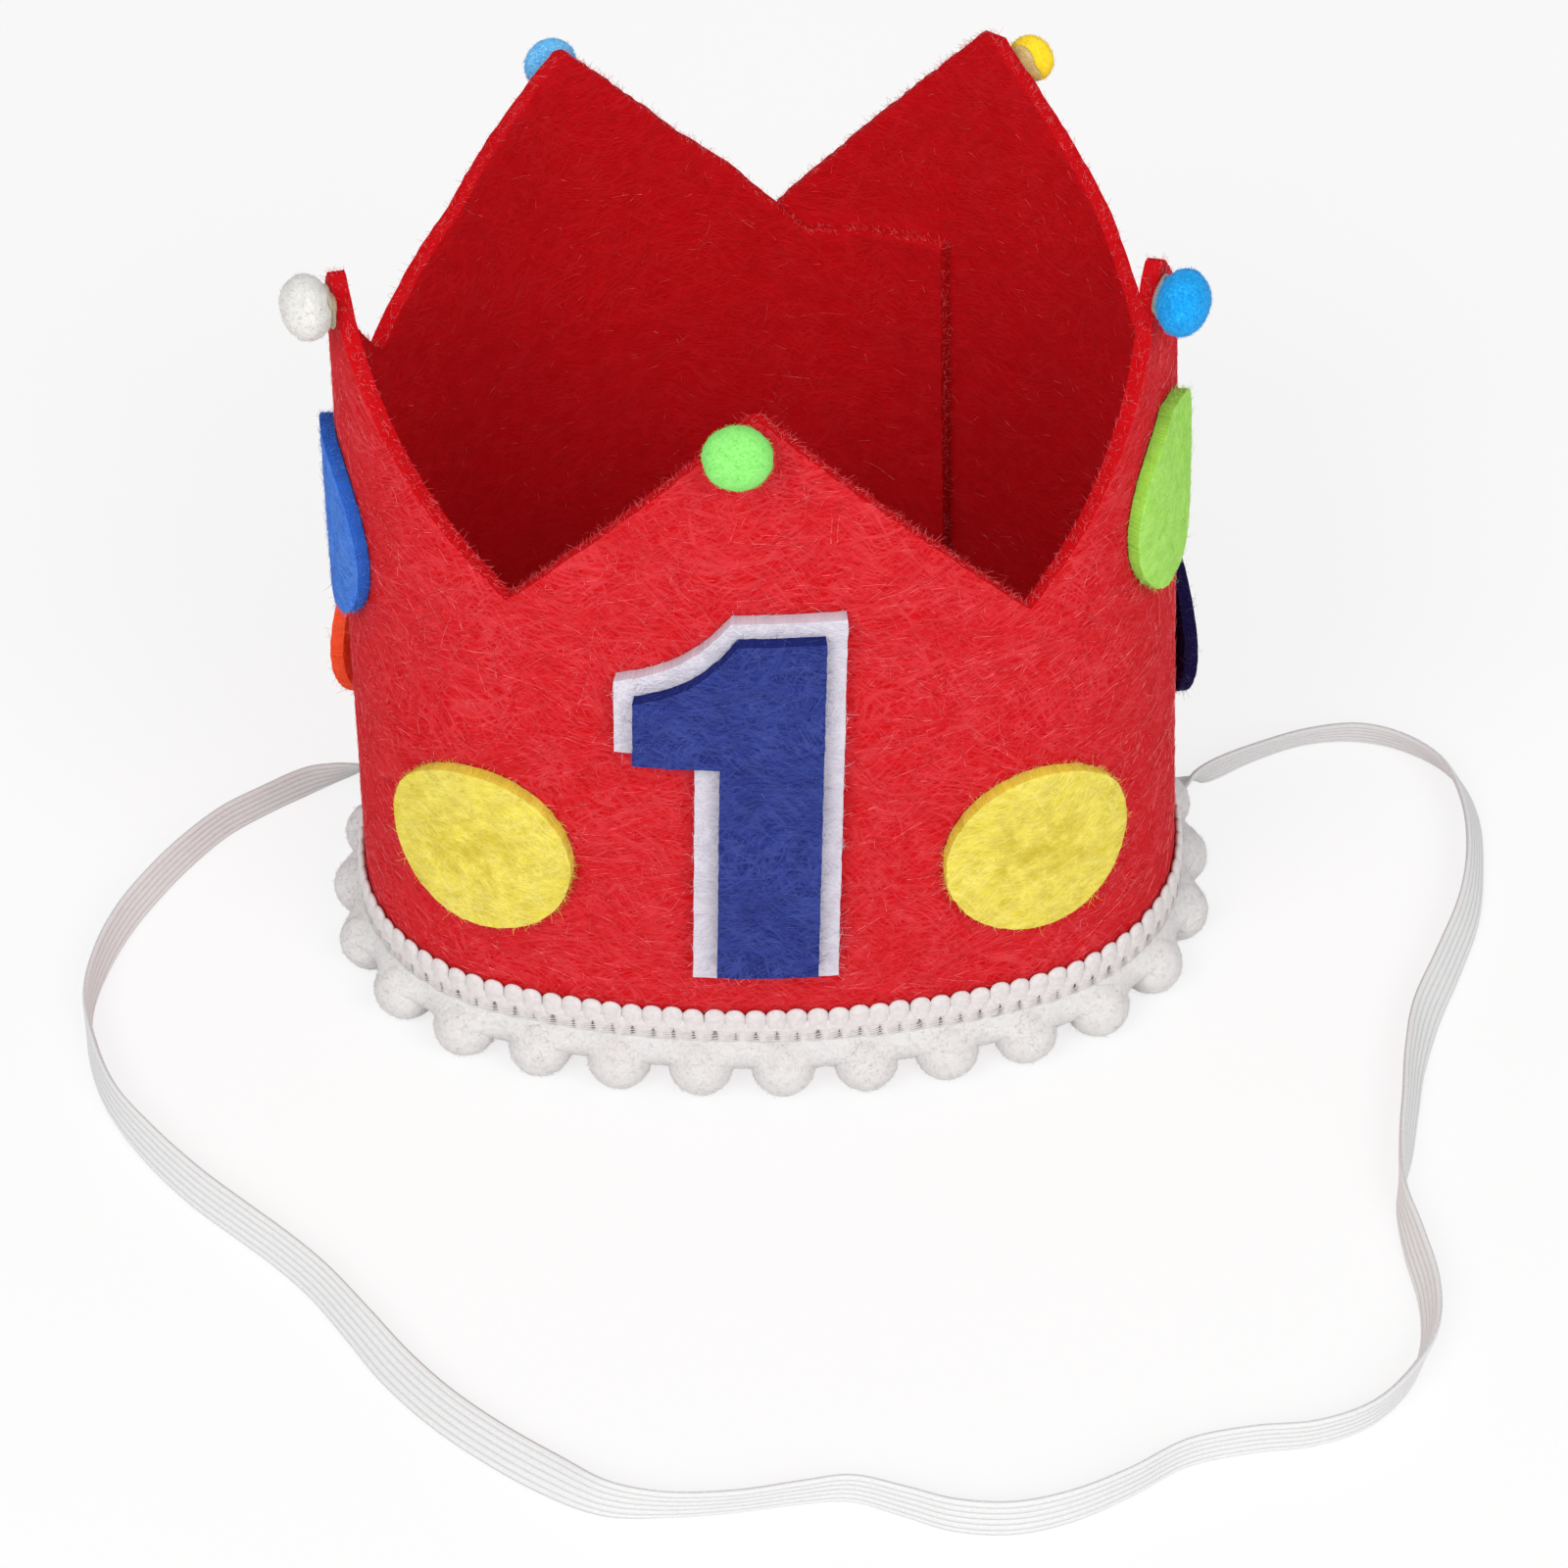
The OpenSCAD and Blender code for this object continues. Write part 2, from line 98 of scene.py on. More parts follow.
# each spot: its middle, its colour and how far its front and back rims stand off the wall
SPOTS = {
    "front_left": (-0.58 * POINT_PITCH, LOW_SPOT, "yellow", 0),
    "front_right": (0.55 * POINT_PITCH, LOW_SPOT - 1.2, "yellow", 0),
    "left_point": (-POINT_PITCH - 3, HIGH_SPOT - 2, "blue", 0),
    "right_point": (POINT_PITCH - 2, HIGH_SPOT + 3.2, "green", 0),
    "back_left": (-1.47 * POINT_PITCH, LOW_SPOT, "orange", 2.8),
    "back_right": (1.43 * POINT_PITCH, LOW_SPOT, "navy", 1.8),
    "back_left_point": (-2 * POINT_PITCH - 4, HIGH_SPOT, "green", 0),
    "back_right_point": (2 * POINT_PITCH - 2.5, HIGH_SPOT, "blue", 0),
}
NUMERAL_BOTTOM = 25.6
NUMERAL_HEIGHT = 61.6
NUMERAL_BORDER = 3
NUMERAL_SLANT = math.tan(math.radians(2))
STEM_EDGE = 8.2
STEM_WIDTH = 14.3
FLAG_REACH = 12
# each pompom: its point, diameter, place beside and below the tip, colour
POMPOMS = {
    "front": (2, 9.8, -2.6, 2.4, "green"),
    "right": (3, 9.8, -4.8, 3, "blue"),
    "left": (1, 9.6, 3.4, 2.2, "white"),
    "back_left": (0, 8.4, -0.4, 4.6, "sky"),
    "back_right": (4, 7.4, -4, 4.5, "yellow"),
}
# a pompom is pressed onto the felt: its thickness as a share of its diameter
POMPOM_PRESS = 0.76
DAB_FILM = 0.4
# half sizes of a dab of glue, and how far its middle stands off the felt
GLUE_WIDE, GLUE_THICK, GLUE_TALL = 2.9, 1.2, 2.7
GLUE_OUT = 1.1
BALL_DIAMETER = 10
BALL_COUNT = 30
BALL_MIDDLE = 4.85
BALL_FIRST = 1.8
BALL_OUT = GLUE_LINE + 0.45
BALL_PITCH = RING / BALL_COUNT
TAPE_BOTTOM = 4.4
TAPE_TOP = 15.8
TRIM_START = -HALF_RING + 6
TRIM_GAP = 1
LOOPS_PER_BALL = 4
LOOP_HEAD_FROM = 12.2
RIB_BOTTOM = 6.4
RIB_TOP = 13.6
PLUSH_TOP = 9.8
PLUSH_SWELL = 1.1
PLUSH_SWELL_AT_BALL = 2.6

STRAP_WIDTH = 0.006
STRAP_THICKNESS = 0.0009
# each row: x, y and height of the lower edge in mm, lean from upright in degrees
STRAP_ROUTE = [
    (-57, -24, 12.2, 0), (-58.6, -17, 12, 0), (-58.4, -10, 11, 0), (-56.2, -3.4, 8.2, -10),
    (-53.4, 2.6, 4.6, -30), (-51.2, 8.4, 1.4, -60), (-50.6, 13, 0.2, -82), (-52.4, 16, 0.1, -90),
    (-56, 17.8, 0.1, -90), (-59.6, 19.4, 0.1, -88), (-63.2, 19.2, 0.1, -64),
    (-66.8, 17.6, 0.1, -38), (-70.6, 16.2, 0.1, -16), (-75, 14.2, 0.1, 0), (-81, 10, 0.1, 2),
    (-87, 5, 0.1, 7), (-92.4, -2, 0.1, 12), (-96.6, -9, 0.1, 15), (-100.4, -17, 0.1, 16),
    (-103, -26, 0.1, 13), (-104, -36, 0.1, 3), (-102, -46.6, 0.1, -8), (-98, -56.6, 0.1, -14),
    (-91.4, -66, 0.1, -24), (-84, -74.4, 0.1, -29), (-76.6, -81.4, 0.1, -28),
    (-70.6, -87, 0.1, -29), (-64.6, -93.4, 0.1, -33), (-58.6, -101.4, 0.1, -41),
    (-53, -109, 0.1, -52), (-46.4, -116.4, 0.1, -53), (-39, -123, 0.1, -50),
    (-31, -129, 0.1, -42), (-23, -134, 0.1, -16), (-14.6, -135.4, 0.1, 4), (-5, -135, 0.1, 11),
    (4, -133.6, 0.1, 9), (11, -133, 0.1, 2), (18, -135.4, 0.1, -4), (25, -138, 0.1, -8),
    (33, -138.6, 0.1, -8), (41, -136.6, 0.1, -6), (49, -132.6, 0.1, -2), (57, -127.6, 0.1, 0),
    (66, -125.4, 0.1, 2), (75, -124.4, 0.1, 5), (83, -121, 0.1, 6), (89, -114.6, 0.1, 8),
    (92.4, -107, 0.1, 20), (93.2, -98.4, 0.1, 26), (92, -88.6, 0.1, 24), (91.2, -79.4, 0.1, 4),
    (92.8, -70, 0.1, -18), (94.4, -61, 0.1, -24), (96, -52, 0.1, -32), (98.8, -41.6, 0.1, -44),
    (103.4, -30.6, 0.1, -41), (107.6, -19.6, 0.1, -35), (109.8, -8.6, 0.1, -27),
    (110.4, 3, 0.1, -30), (108.2, 12.8, 0.1, -28), (102.6, 19, 0.1, -22), (95, 22.2, 0.1, -20),
    (86.4, 21.6, 0.1, -24), (77.8, 18, 0.1, -20), (70, 13.4, 0.1, -14), (66.4, 12.2, 0.1, -52),
    (62.8, 11, 0.1, -89), (59.2, 9.8, 0.1, -90), (55.4, 8.4, 0.1, -90), (52.2, 5.6, 0.2, -76),
    (51.6, 1, 2, -50), (53, -4.4, 5.2, -24), (55.6, -9.8, 8.6, -6), (57.8, -14.6, 11.2, 0),
    (58.2, -20, 12, 0), (57, -24.4, 12.2, 0)]


def wrapped(s):
    """A place along the strip, counted from the front middle, brought within half a ring."""
    return np.where(s > HALF_RING, s - RING, np.where(s < -HALF_RING, s + RING, s))


def facing(s):
    """How far the wall has turned from facing the front, in radians."""
    t = wrapped(np.asarray(s, float))
    u = np.abs(t)
    corner = FRONT_TURN + (u - FRONT_LENGTH) / CORNER_RADIUS
    back = FRONT_TURN + CORNER_TURN + (u - BACK_FROM) / BACK_RADIUS
    turn = np.where(u <= FRONT_LENGTH, u / FRONT_RADIUS, np.where(u <= BACK_FROM, corner, back))
    return np.where(t < 0, -turn, turn)


def roll(s, z, out):
    """Takes flat places (along the strip, up, outwards, in mm) to the crown, in metres."""
    t = wrapped(np.asarray(s, float))
    a = facing(t)
    u = np.abs(t)
    in_front = u <= FRONT_LENGTH
    in_corner = (u > FRONT_LENGTH) & (u <= BACK_FROM)
    radius = np.select([in_front, in_corner], [FRONT_RADIUS, CORNER_RADIUS], BACK_RADIUS)
    x0 = np.where(in_corner, np.sign(t) * ARC_X, 0)
    y0 = np.select([in_front, in_corner], [FRONT_CENTRE, 0], -BACK_CENTRE)
    lean = np.radians(WALL_LEAN + np.interp(t / POINT_PITCH, LEAN_AT, LEAN_ADDED))
    o = out - (z - TAPE_TOP) * np.tan(lean)
    x = x0 + (radius + o) * np.sin(a)
    y = y0 - (radius + o) * np.cos(a) + SHIFT_Y
    return np.stack([x, y, z + 0 * x], axis=-1) * MM


def lap_out(s):
    """How far the strip's first end passes inside its own outer layer."""
    start = STRIP_END - RING - LAP_ROOM
    f = np.clip((start + LAP_SLOPE - s) / LAP_SLOPE, 0, 1)
    return -(BAND_FELT + LAP_GAP) * (1 - np.cos(np.pi * f)) / 2


def points_of(mesh):
    co = np.empty(len(mesh.vertices) * 3)
    mesh.vertices.foreach_get("co", co)
    return co.reshape(-1, 3)


def set_points(mesh, co):
    mesh.vertices.foreach_set("co", np.ascontiguousarray(co).ravel())
    mesh.update()


def roll_up(mesh, lap=False):
    """Rolls a flat mesh (x along the strip, -y outwards, z up, mm) onto the ring."""
    co = points_of(mesh)
    out = -co[:, 1] + (lap_out(co[:, 0]) if lap else 0)
    set_points(mesh, roll(co[:, 0], co[:, 2], out))


def put_on_wall(mesh, s, z, out, lowest=None, press=1.0):
    """Places a small round mesh (mm, -y outwards) upright on the wall, pressed onto it."""
    co = points_of(mesh) * (MM, MM * press, MM)
    a = float(facing(s))
    turn = np.array([[math.cos(a), -math.sin(a), 0], [math.sin(a), math.cos(a), 0], [0, 0, 1]])
    co = co @ turn.T + roll(s, z, out)
    if lowest is not None:
        co[:, 2] = np.maximum(co[:, 2], lowest)
    set_points(mesh, co)


def new_object(name, data=None):
    obj = bpy.data.objects.new(name, data or bpy.data.meshes.new(name))
    bpy.context.scene.collection.objects.link(obj)
    return obj


def settle(obj):
    """Turns an object's modifiers into a plain mesh."""
    deps = bpy.context.evaluated_depsgraph_get()
    mesh = bpy.data.meshes.new_from_object(
        obj.evaluated_get(deps), preserve_all_data_layers=True, depsgraph=deps)
    obj.modifiers.clear()
    obj.data = mesh
    mesh.name = obj.name
    return obj


def mesh_of(name, bm):
    mesh = bpy.data.meshes.new(name)
    bm.to_mesh(mesh)
    bm.free()
    return mesh


def smooth(mesh, angle=50):
    mesh.polygons.foreach_set("use_smooth", [True] * len(mesh.polygons))
    mesh.set_sharp_from_angle(angle=math.radians(angle))


def dress(obj, material, slot, *nodes):
    """Gives a finished piece its material and its body, and hides the nodes it stands for. slot is
    not used.
    """
    obj.data.materials.clear()
    obj.data.materials.append(material)
    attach(obj, "root")
    if nodes:
        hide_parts(*nodes)


def fill(tree, node, sockets):
    """Fills a node's sockets with values, or links them to sockets or to nodes' first outputs."""
    for name, value in sockets.items():
        if isinstance(value, bpy.types.Node):
            value = value.outputs[0]
        if isinstance(value, bpy.types.NodeSocket):
            tree.links.new(value, node.inputs[name])
        else:
            node.inputs[name].default_value = value


def put(tree, kind, sockets=None, **settings):
    """Adds a node, with its settings, and fills its sockets."""
    node = tree.nodes.new(kind)
    for name, value in settings.items():
        setattr(node, name, value)
    fill(tree, node, sockets or {})
    return node


SOCKET_TYPES = {float: "NodeSocketFloat", int: "NodeSocketInt", str: "NodeSocketString"}


def new_tree(name, kind, inputs, outputs):
    """A node group with its inputs (a default, or the socket type if it has none) and outputs."""
    tree = bpy.data.node_groups.new(name, kind)
    for label, given in inputs.items():
        bare = str(given).startswith("NodeSocket")
        socket = given if bare else SOCKET_TYPES[type(given)]
        item = tree.interface.new_socket(label, in_out="INPUT", socket_type=socket)
        if not bare:
            item.default_value = given
    for label, socket in outputs.items():
        tree.interface.new_socket(label, in_out="OUTPUT", socket_type=socket)
    return tree, put(tree, "NodeGroupInput").outputs, put(tree, "NodeGroupOutput").inputs


def use_tree(obj, tree, **values):
    """Puts a geometry tree on an object, sets its named inputs and makes the result plain."""
    modifier = obj.modifiers.new(tree.name, "NODES")
    modifier.node_group = tree
    for item in tree.interface.items_tree:
        key = item.name.lower().replace(" ", "_")
        if item.in_out == "INPUT" and key in values:
            modifier[item.identifier] = values[key]
    return settle(obj)


def maths(tree, operation, a, b=None, clamp=False):
    sockets = {0: a} if b is None else {0: a, 1: b}
    return put(tree, "ShaderNodeMath", sockets, operation=operation, use_clamp=clamp).outputs[0]


def times(tree, a, b):
    return maths(tree, "MULTIPLY", a, b)


def plus(tree, a, b):
    return maths(tree, "ADD", a, b)


def minus(tree, a, b, clamp=False):
    return maths(tree, "SUBTRACT", a, b, clamp)


def scaled(tree, vector, factor):
    sockets = {0: vector, "Scale": factor}
    return put(tree, "ShaderNodeVectorMath", sockets, operation="SCALE").outputs[0]


def vectors(tree, operation, a, b):
    return put(tree, "ShaderNodeVectorMath", {0: a, 1: b}, operation=operation).outputs[0]


def xyz(tree, **parts):
    sockets = {axis.upper(): value for axis, value in parts.items()}
    return put(tree, "ShaderNodeCombineXYZ", sockets).outputs[0]


def ranged(tree, value, low, high, to_low=0.0, to_high=1.0, interpolation="LINEAR"):
    return put(tree, "ShaderNodeMapRange", {
        "Value": value, "From Min": low, "From Max": high, "To Min": to_low, "To Max": to_high},
        interpolation_type=interpolation).outputs[0]


def noise_at(tree, place, scale, detail, **sockets):
    """Noise as one number. place None is the point itself."""
    sockets = {name.capitalize(): value for name, value in sockets.items()}
    if place is not None:
        sockets["Vector"] = place
    return put(tree, "ShaderNodeTexNoise", {"Scale": scale, "Detail": detail, **sockets}).outputs[0]


def named_number(tree, name):
    return put(tree, "GeometryNodeInputNamedAttribute", {"Name": name},
               data_type="FLOAT").outputs[0]


def tube(tree, curve, sides, radius, **sockets):
    """A mesh tube along a curve."""
    profile = put(tree, "GeometryNodeCurvePrimitiveCircle", {"Resolution": sides, "Radius": radius})
    return put(tree, "GeometryNodeCurveToMesh", {
        "Curve": curve, "Profile Curve": profile,
        **{name.replace("_", " ").title(): value for name, value in sockets.items()}})


def random_number(tree, low, high, seed):
    return put(tree, "FunctionNodeRandomValue", {2: low, 3: high, 8: seed},
               data_type="FLOAT").outputs[1]


def strands_on(tree, surface, size):
    """Nodes that strew loose strands over a surface. size holds the sockets of their sizes."""
    seeds = [plus(tree, size["Seed"], float(k)) for k in (1, 2, 3)]
    here = named_number(tree, size["Where"])
    fewer = times(tree, minus(tree, 1.0, here), size["Thinning"])
    spread = put(tree, "GeometryNodeDistributePointsOnFaces", {
        "Mesh": surface, "Seed": size["Seed"],
        "Density": times(tree, size["Density"], minus(tree, 1.0, fewer))})
    draw = random_number(tree, -1.0, 1.0, seeds[0])
    eddy = noise_at(tree, None, 0.02, 0.0)
    flow = times(tree, minus(tree, eddy, 0.5), size["Flow Swing"])
    spread_turn = times(tree, times(tree, draw, maths(tree, "ABSOLUTE", draw)), size["Scatter"])
    spin = plus(tree, flow, spread_turn)
    tilt = random_number(tree, size["Lowest Tilt"], size["Highest Tilt"], seeds[1])
    turn = xyz(tree, y=times(tree, tilt, -1.0), z=spin)
    turn = put(tree, "FunctionNodeEulerToRotation", {0: turn})
    along_strip = (0.96, 0.0, 0.28)
    level = put(tree, "FunctionNodeAxesToRotation", {0: spread.outputs["Normal"], 1: along_strip},
                primary_axis="Z", secondary_axis="X")
    turned = put(tree, "FunctionNodeRotateRotation", {
        "Rotation": level, "Rotate By": turn}, rotation_space="LOCAL")
    grow = random_number(tree, times(tree, size["Length"], 0.35), size["Length"], seeds[2])
    inland = times(tree, named_number(tree, "inland"), INLAND_SPAN)
    grow = maths(tree, "MINIMUM", grow, plus(tree, inland, size["Overhang"]))
    line = put(tree, "GeometryNodeMeshLine", {
        "Count": size["Joints"], "Offset": (1.0, 0.0, 0.0)}, mode="OFFSET", count_mode="TOTAL")
    step = maths(tree, "DIVIDE", grow, minus(tree, size["Joints"], 1.0))
    lines = put(tree, "GeometryNodeInstanceOnPoints", {
        "Points": spread.outputs["Points"], "Instance": line,
        "Rotation": turned, "Scale": step})
    real = put(tree, "GeometryNodeRealizeInstances", {0: lines})
    curves = put(tree, "GeometryNodeMeshToCurve", {0: real})
    along = put(tree, "GeometryNodeSplineParameter").outputs["Factor"]
    noise = put(tree, "ShaderNodeTexNoise", {
        "Scale": maths(tree, "DIVIDE", 1.0, size["Curl Size"]), "Detail": 1.0, "W": size["Seed"]},
        noise_dimensions="4D")
    centred = vectors(tree, "SUBTRACT", noise.outputs["Color"], (0.5, 0.5, 0.5))
    flat = vectors(tree, "MULTIPLY", centred, xyz(tree, x=1.0, y=size["Lift"], z=1.0))
    drift = scaled(tree, flat, times(tree, size["Curl"], along))
    bent = put(tree, "GeometryNodeSetPosition", {"Geometry": curves, "Offset": drift})
    thin = minus(tree, 1.0, times(tree, along, 0.6))
    return tube(tree, bent, 3, size["Radius"], scale=thin).outputs[0]


def give(tree, finish, result, *parts):
    """Joins the parts of a geometry tree, makes them real and gives them their material."""
    both = put(tree, "GeometryNodeJoinGeometry", {0: parts[0]})
    for part in parts[1:]:
        tree.links.new(part, both.inputs[0])
    real = put(tree, "GeometryNodeRealizeInstances", {0: both})
    finished = put(tree, "GeometryNodeSetMaterial", {"Geometry": real, "Material": finish})
    tree.links.new(finished.outputs[0], result[0])


STRAND_INPUTS = {
    "Density": 0.1, "Length": 6.0,
    "Radius": 0.05, "Joints": 6,
    "Lowest Tilt": 0.0, "Highest Tilt": 0.2,
    "Curl": 2.0, "Curl Size": 5.0,
    "Scatter": math.pi, "Flow Swing": 0.0,
    "Lift": 1.0, "Thinning": 0.0,
    "Overhang": 100.0,
    "Where": "outer",
    "Seed": 1, "Finish": "NodeSocketMaterial"}


def wisps_tree():
    """Loose fibres on a felt surface, without the surface."""
    tree, given, result = new_tree(
        "felt_wisps", "GeometryNodeTree",
        {"Felt": "NodeSocketGeometry", **STRAND_INPUTS}, {"Wisps": "NodeSocketGeometry"})
    give(tree, given["Finish"], result, strands_on(tree, given["Felt"], given))
    return tree


def fluff_ball_tree():
    """A soft ball: a lumpy core covered with short strands."""
    tree, given, result = new_tree(
        "fluff_ball", "GeometryNodeTree",
        {"Base": "NodeSocketGeometry", "Ball Radius": 5.0,
         "Lumps": 0.4, "Lump Size": 2.5, **STRAND_INPUTS},
        {"Ball": "NodeSocketGeometry"})
    core = put(tree, "GeometryNodeMeshIcoSphere", {
        "Radius": given["Ball Radius"], "Subdivisions": 5})
    noise = put(tree, "ShaderNodeTexNoise", {
        "Scale": maths(tree, "DIVIDE", 1.0, given["Lump Size"]), "Detail": 3.0, "W": given["Seed"]},
        noise_dimensions="4D")
    rise = times(tree, minus(tree, noise, 0.55), given["Lumps"])
    normal = put(tree, "GeometryNodeInputNormal").outputs[0]
    lumpy = put(tree, "GeometryNodeSetPosition", {
        "Geometry": core, "Offset": scaled(tree, normal, rise)})
    soft = put(tree, "GeometryNodeSetShadeSmooth", {0: lumpy})
    give(tree, given["Finish"], result, soft, strands_on(tree, lumpy, given))
    return tree


def camera():
    """The photograph's viewpoint, found by fitting the ring, the points and the trim."""
    data = bpy.data.cameras.new("camera")
    cam = new_object("camera", data)
    image_width = 1600
    focal_pixels = 4775.24
    data.sensor_width = 36
    data.lens = data.sensor_width * focal_pixels / image_width
    right = Vector((0.9998, -0.0025, -0.0196))
    up = Vector((0.0163, 0.6633, 0.7482))
    back = right.cross(up).normalized()
    up = back.cross(right).normalized()
    turn = Matrix((right.normalized(), up, back)).transposed().to_4x4()
    cam.matrix_world = Matrix.Translation((0.01035, -0.54685, 0.49833)) @ turn
    data.clip_start = 0.02
    data.clip_end = 10
    bpy.context.scene.camera = cam


camera()


def color(red, green, blue):
    """A colour as the eye reads it, 0 to 255, made linear."""
    def linear(c):
        c /= 255
        return c / 12.92 if c <= 0.04045 else ((c + 0.055) / 1.055) ** 2.4
    return (linear(red), linear(green), linear(blue), 1.0)


def fibre_field():
    """Shader group: long thin fibres that mostly run along the strip, short ones, soft blotches."""
    tree, given, result = new_tree(
        "fibre_field", "ShaderNodeTree",
        {"Vector": "NodeSocketVector", "Length Scale": 12.0,
         "Fineness": 8.0, "Thinness": 10.0},
        {"Long": "NodeSocketFloat", "Short": "NodeSocketFloat", "Blotches": "NodeSocketFloat"})
    scale = given["Length Scale"]
    bends = put(tree, "ShaderNodeTexNoise", {
        "Vector": given["Vector"], "Scale": times(tree, scale, 0.7), "Detail": 0.0})
    bends = vectors(tree, "SUBTRACT", bends.outputs["Color"], (0.5, 0.5, 0.5))
    bent = vectors(tree, "ADD", given["Vector"], scaled(tree, bends, 0.09))

    def lines(turn, shift, scale, fineness, thinness):
        moved = vectors(tree, "ADD", bent, (shift, shift * 0.7, 0))
        spun = put(tree, "ShaderNodeVectorRotate", {"Vector": moved, "Angle": turn},
                   rotation_type="Z_AXIS")
        sizes = xyz(tree, x=scale, y=times(tree, scale, fineness), z=scale)
        fitted = vectors(tree, "MULTIPLY", spun, sizes)
        noise = put(tree, "ShaderNodeTexNoise", {
            "Vector": fitted, "Scale": 1.0, "Detail": 1.0, "Roughness": 0.35},
            noise_dimensions="2D")
        level = maths(tree, "ABSOLUTE", minus(tree, noise, 0.5))
        return minus(tree, 1.0, times(tree, level, thinness), clamp=True)

    thick = times(tree, given["Thinness"], 0.5)
    short_scale = times(tree, scale, 3.5)
    short_fineness = times(tree, given["Fineness"], 0.5)
    long_ones = [lines(turn, shift, scale, given["Fineness"], given["Thinness"])
                 for turn, shift in ((0.15, 0), (-0.5, 1.7), (0.95, 3.4))]
    short_ones = [lines(turn, shift, short_scale, short_fineness, thick)
                  for turn, shift in ((0.3, 9), (-0.8, 10.3))]
    veil = noise_at(tree, given["Vector"], times(tree, scale, 1.4), 1.0)
    gate = ranged(tree, veil, 0.36, 0.6, 0.5)
    strongest = maths(tree, "MAXIMUM", *long_ones[:2])
    strongest = maths(tree, "MAXIMUM", strongest, long_ones[2])
    tree.links.new(times(tree, strongest, gate), result["Long"])
    tree.links.new(maths(tree, "MAXIMUM", *short_ones), result["Short"])
    blotch = noise_at(tree, given["Vector"], times(tree, scale, 3.0), 3.0, roughness=0.7)
    tree.links.new(blotch, result["Blotches"])
    return tree


def new_material(name, place="Object"):
    """A material, its tree and shader, and the place on the piece that its pattern follows."""
    material = bpy.data.materials.new(name)
    material.use_nodes = True
    tree = material.node_tree
    here = put(tree, "ShaderNodeTexCoord").outputs[place]
    return material, tree, tree.nodes["Principled BSDF"], here


def mixed(tree, factor, a, b):
    return put(tree, "ShaderNodeMix", {0: factor, 6: a, 7: b}, data_type="RGBA").outputs[2]


def set_shader(tree, shader, **values):
    """Fills the shader's own sockets: sheen_weight stands for the socket Sheen Weight."""
    fill(tree, shader, {name.replace("_", " ").title().replace("Ior", "IOR"): value
                        for name, value in values.items()})


def bump_from(tree, shader, height, strength, distance=0.0002):
    bump = put(tree, "ShaderNodeBump", {
        "Height": height, "Strength": strength, "Distance": distance})
    set_shader(tree, shader, normal=bump)


FIBRES = fibre_field()


def felt(name, base, dark, light, long_share, short_share, inner_shade_share, edge_shade_share):
    """Needle felt: a dense base, and short fibres and long light ones over its outer face, partly
    painted sheen; fewer of them on the inner face and the dark tone on the cut edges are painted
    shade.
    """
    material, tree, shader, place = new_material(name, "UV")
    field = put(tree, "ShaderNodeGroup", {
        "Length Scale": 10.0, "Fineness": 10.0, "Thinness": 16.0, "Vector": place},
        node_tree=FIBRES).outputs
    outer, cut, glued = (put(tree, "ShaderNodeAttribute", attribute_name=label).outputs["Fac"]
                         for label in ("outer", "cut", "glued"))
    blotch = ranged(tree, field["Blotches"], 0.35, 0.62)
    tone = mixed(tree, blotch, color(*dark), color(*base))
    # painted shade: the inner face gets only a share of the light fibres, so it reads darker
    facing_out = ranged(tree, outer, 0.0, 1.0, inner_shade_share)
    for fibres, share in (("Short", short_share), ("Long", long_share)):
        amount = times(tree, field[fibres], facing_out)
        tone = mixed(tree, times(tree, amount, share), tone, color(*light))
    # painted shade: the cut edges are drawn towards the dark tone
    tone = mixed(tree, times(tree, cut, edge_shade_share), tone, color(*dark))
    stain = times(tree, glued, minus(tree, 1.0, blotch))
    tone = mixed(tree, stain, tone, color(*dark))
    set_shader(tree, shader, base_color=tone, roughness=0.95, specular_ior_level=0.05,
               sheen_weight=0.04, sheen_roughness=0.4, sheen_tint=color(*light))
    height = plus(tree, field["Short"], times(tree, field["Blotches"], 1.5))
    bump_from(tree, shader, plus(tree, height, field["Long"]), 0.45)
    return material


def strand_finish(name, dark, light):
    """Loose strands: one plain tone that drifts from strand to strand."""
    material, tree, shader, place = new_material(name)
    drift = ranged(tree, noise_at(tree, place, 900.0, 1.0), 0.35, 0.65)
    tone = mixed(tree, drift, color(*dark), color(*light))
    set_shader(tree, shader, base_color=tone, roughness=0.75, specular_ior_level=0.2)
    return material


# each felt: base, dark and light tone; shares of long and short fibres (partly painted sheen), of
# fibres on the inner face (painted shade inside) and of the dark tone on the cut edges (painted
# shade); dark and light tone of the loose fibres
FELT_TONES = {
    "red": ((202, 11, 21), (192, 7, 16), (240, 88, 96), (0.34, 0.16, 0.2, 0.5),
            (206, 24, 34), (248, 124, 130)),
    "white": ((212, 206, 218), (194, 187, 201), (232, 229, 237), (0.5, 0.35, 0.3, 0.3),
              (214, 209, 222), (236, 233, 240)),
    "numeral_blue": ((36, 47, 120), (28, 36, 100), (84, 100, 176), (0.34, 0.22, 0.3, 0.7),
                     (46, 58, 140), (100, 116, 192)),
    "yellow": ((234, 214, 66), (206, 184, 52), (248, 236, 138), (0.45, 0.35, 0.3, 0.05),
               (230, 212, 74), (250, 240, 140)),
    "blue": ((54, 120, 226), (40, 92, 190), (112, 158, 230), (0.45, 0.35, 0.3, 0.7),
             (52, 104, 202), (120, 166, 234)),
    "green": ((165, 229, 88), (146, 208, 70), (196, 240, 142), (0.45, 0.35, 0.3, 0.7),
              (158, 218, 84), (200, 242, 148)),
    "orange": ((255, 104, 66), (250, 84, 46), (255, 150, 110), (0.4, 0.35, 0.3, 0.7),
               (250, 90, 44), (255, 150, 104)),
    "navy": ((32, 27, 80), (20, 16, 52), (74, 66, 130), (0.4, 0.35, 0.3, 0.7),
             (34, 30, 86), (80, 72, 140)),
}
FELTS = {}
WISP_FINISH = {}
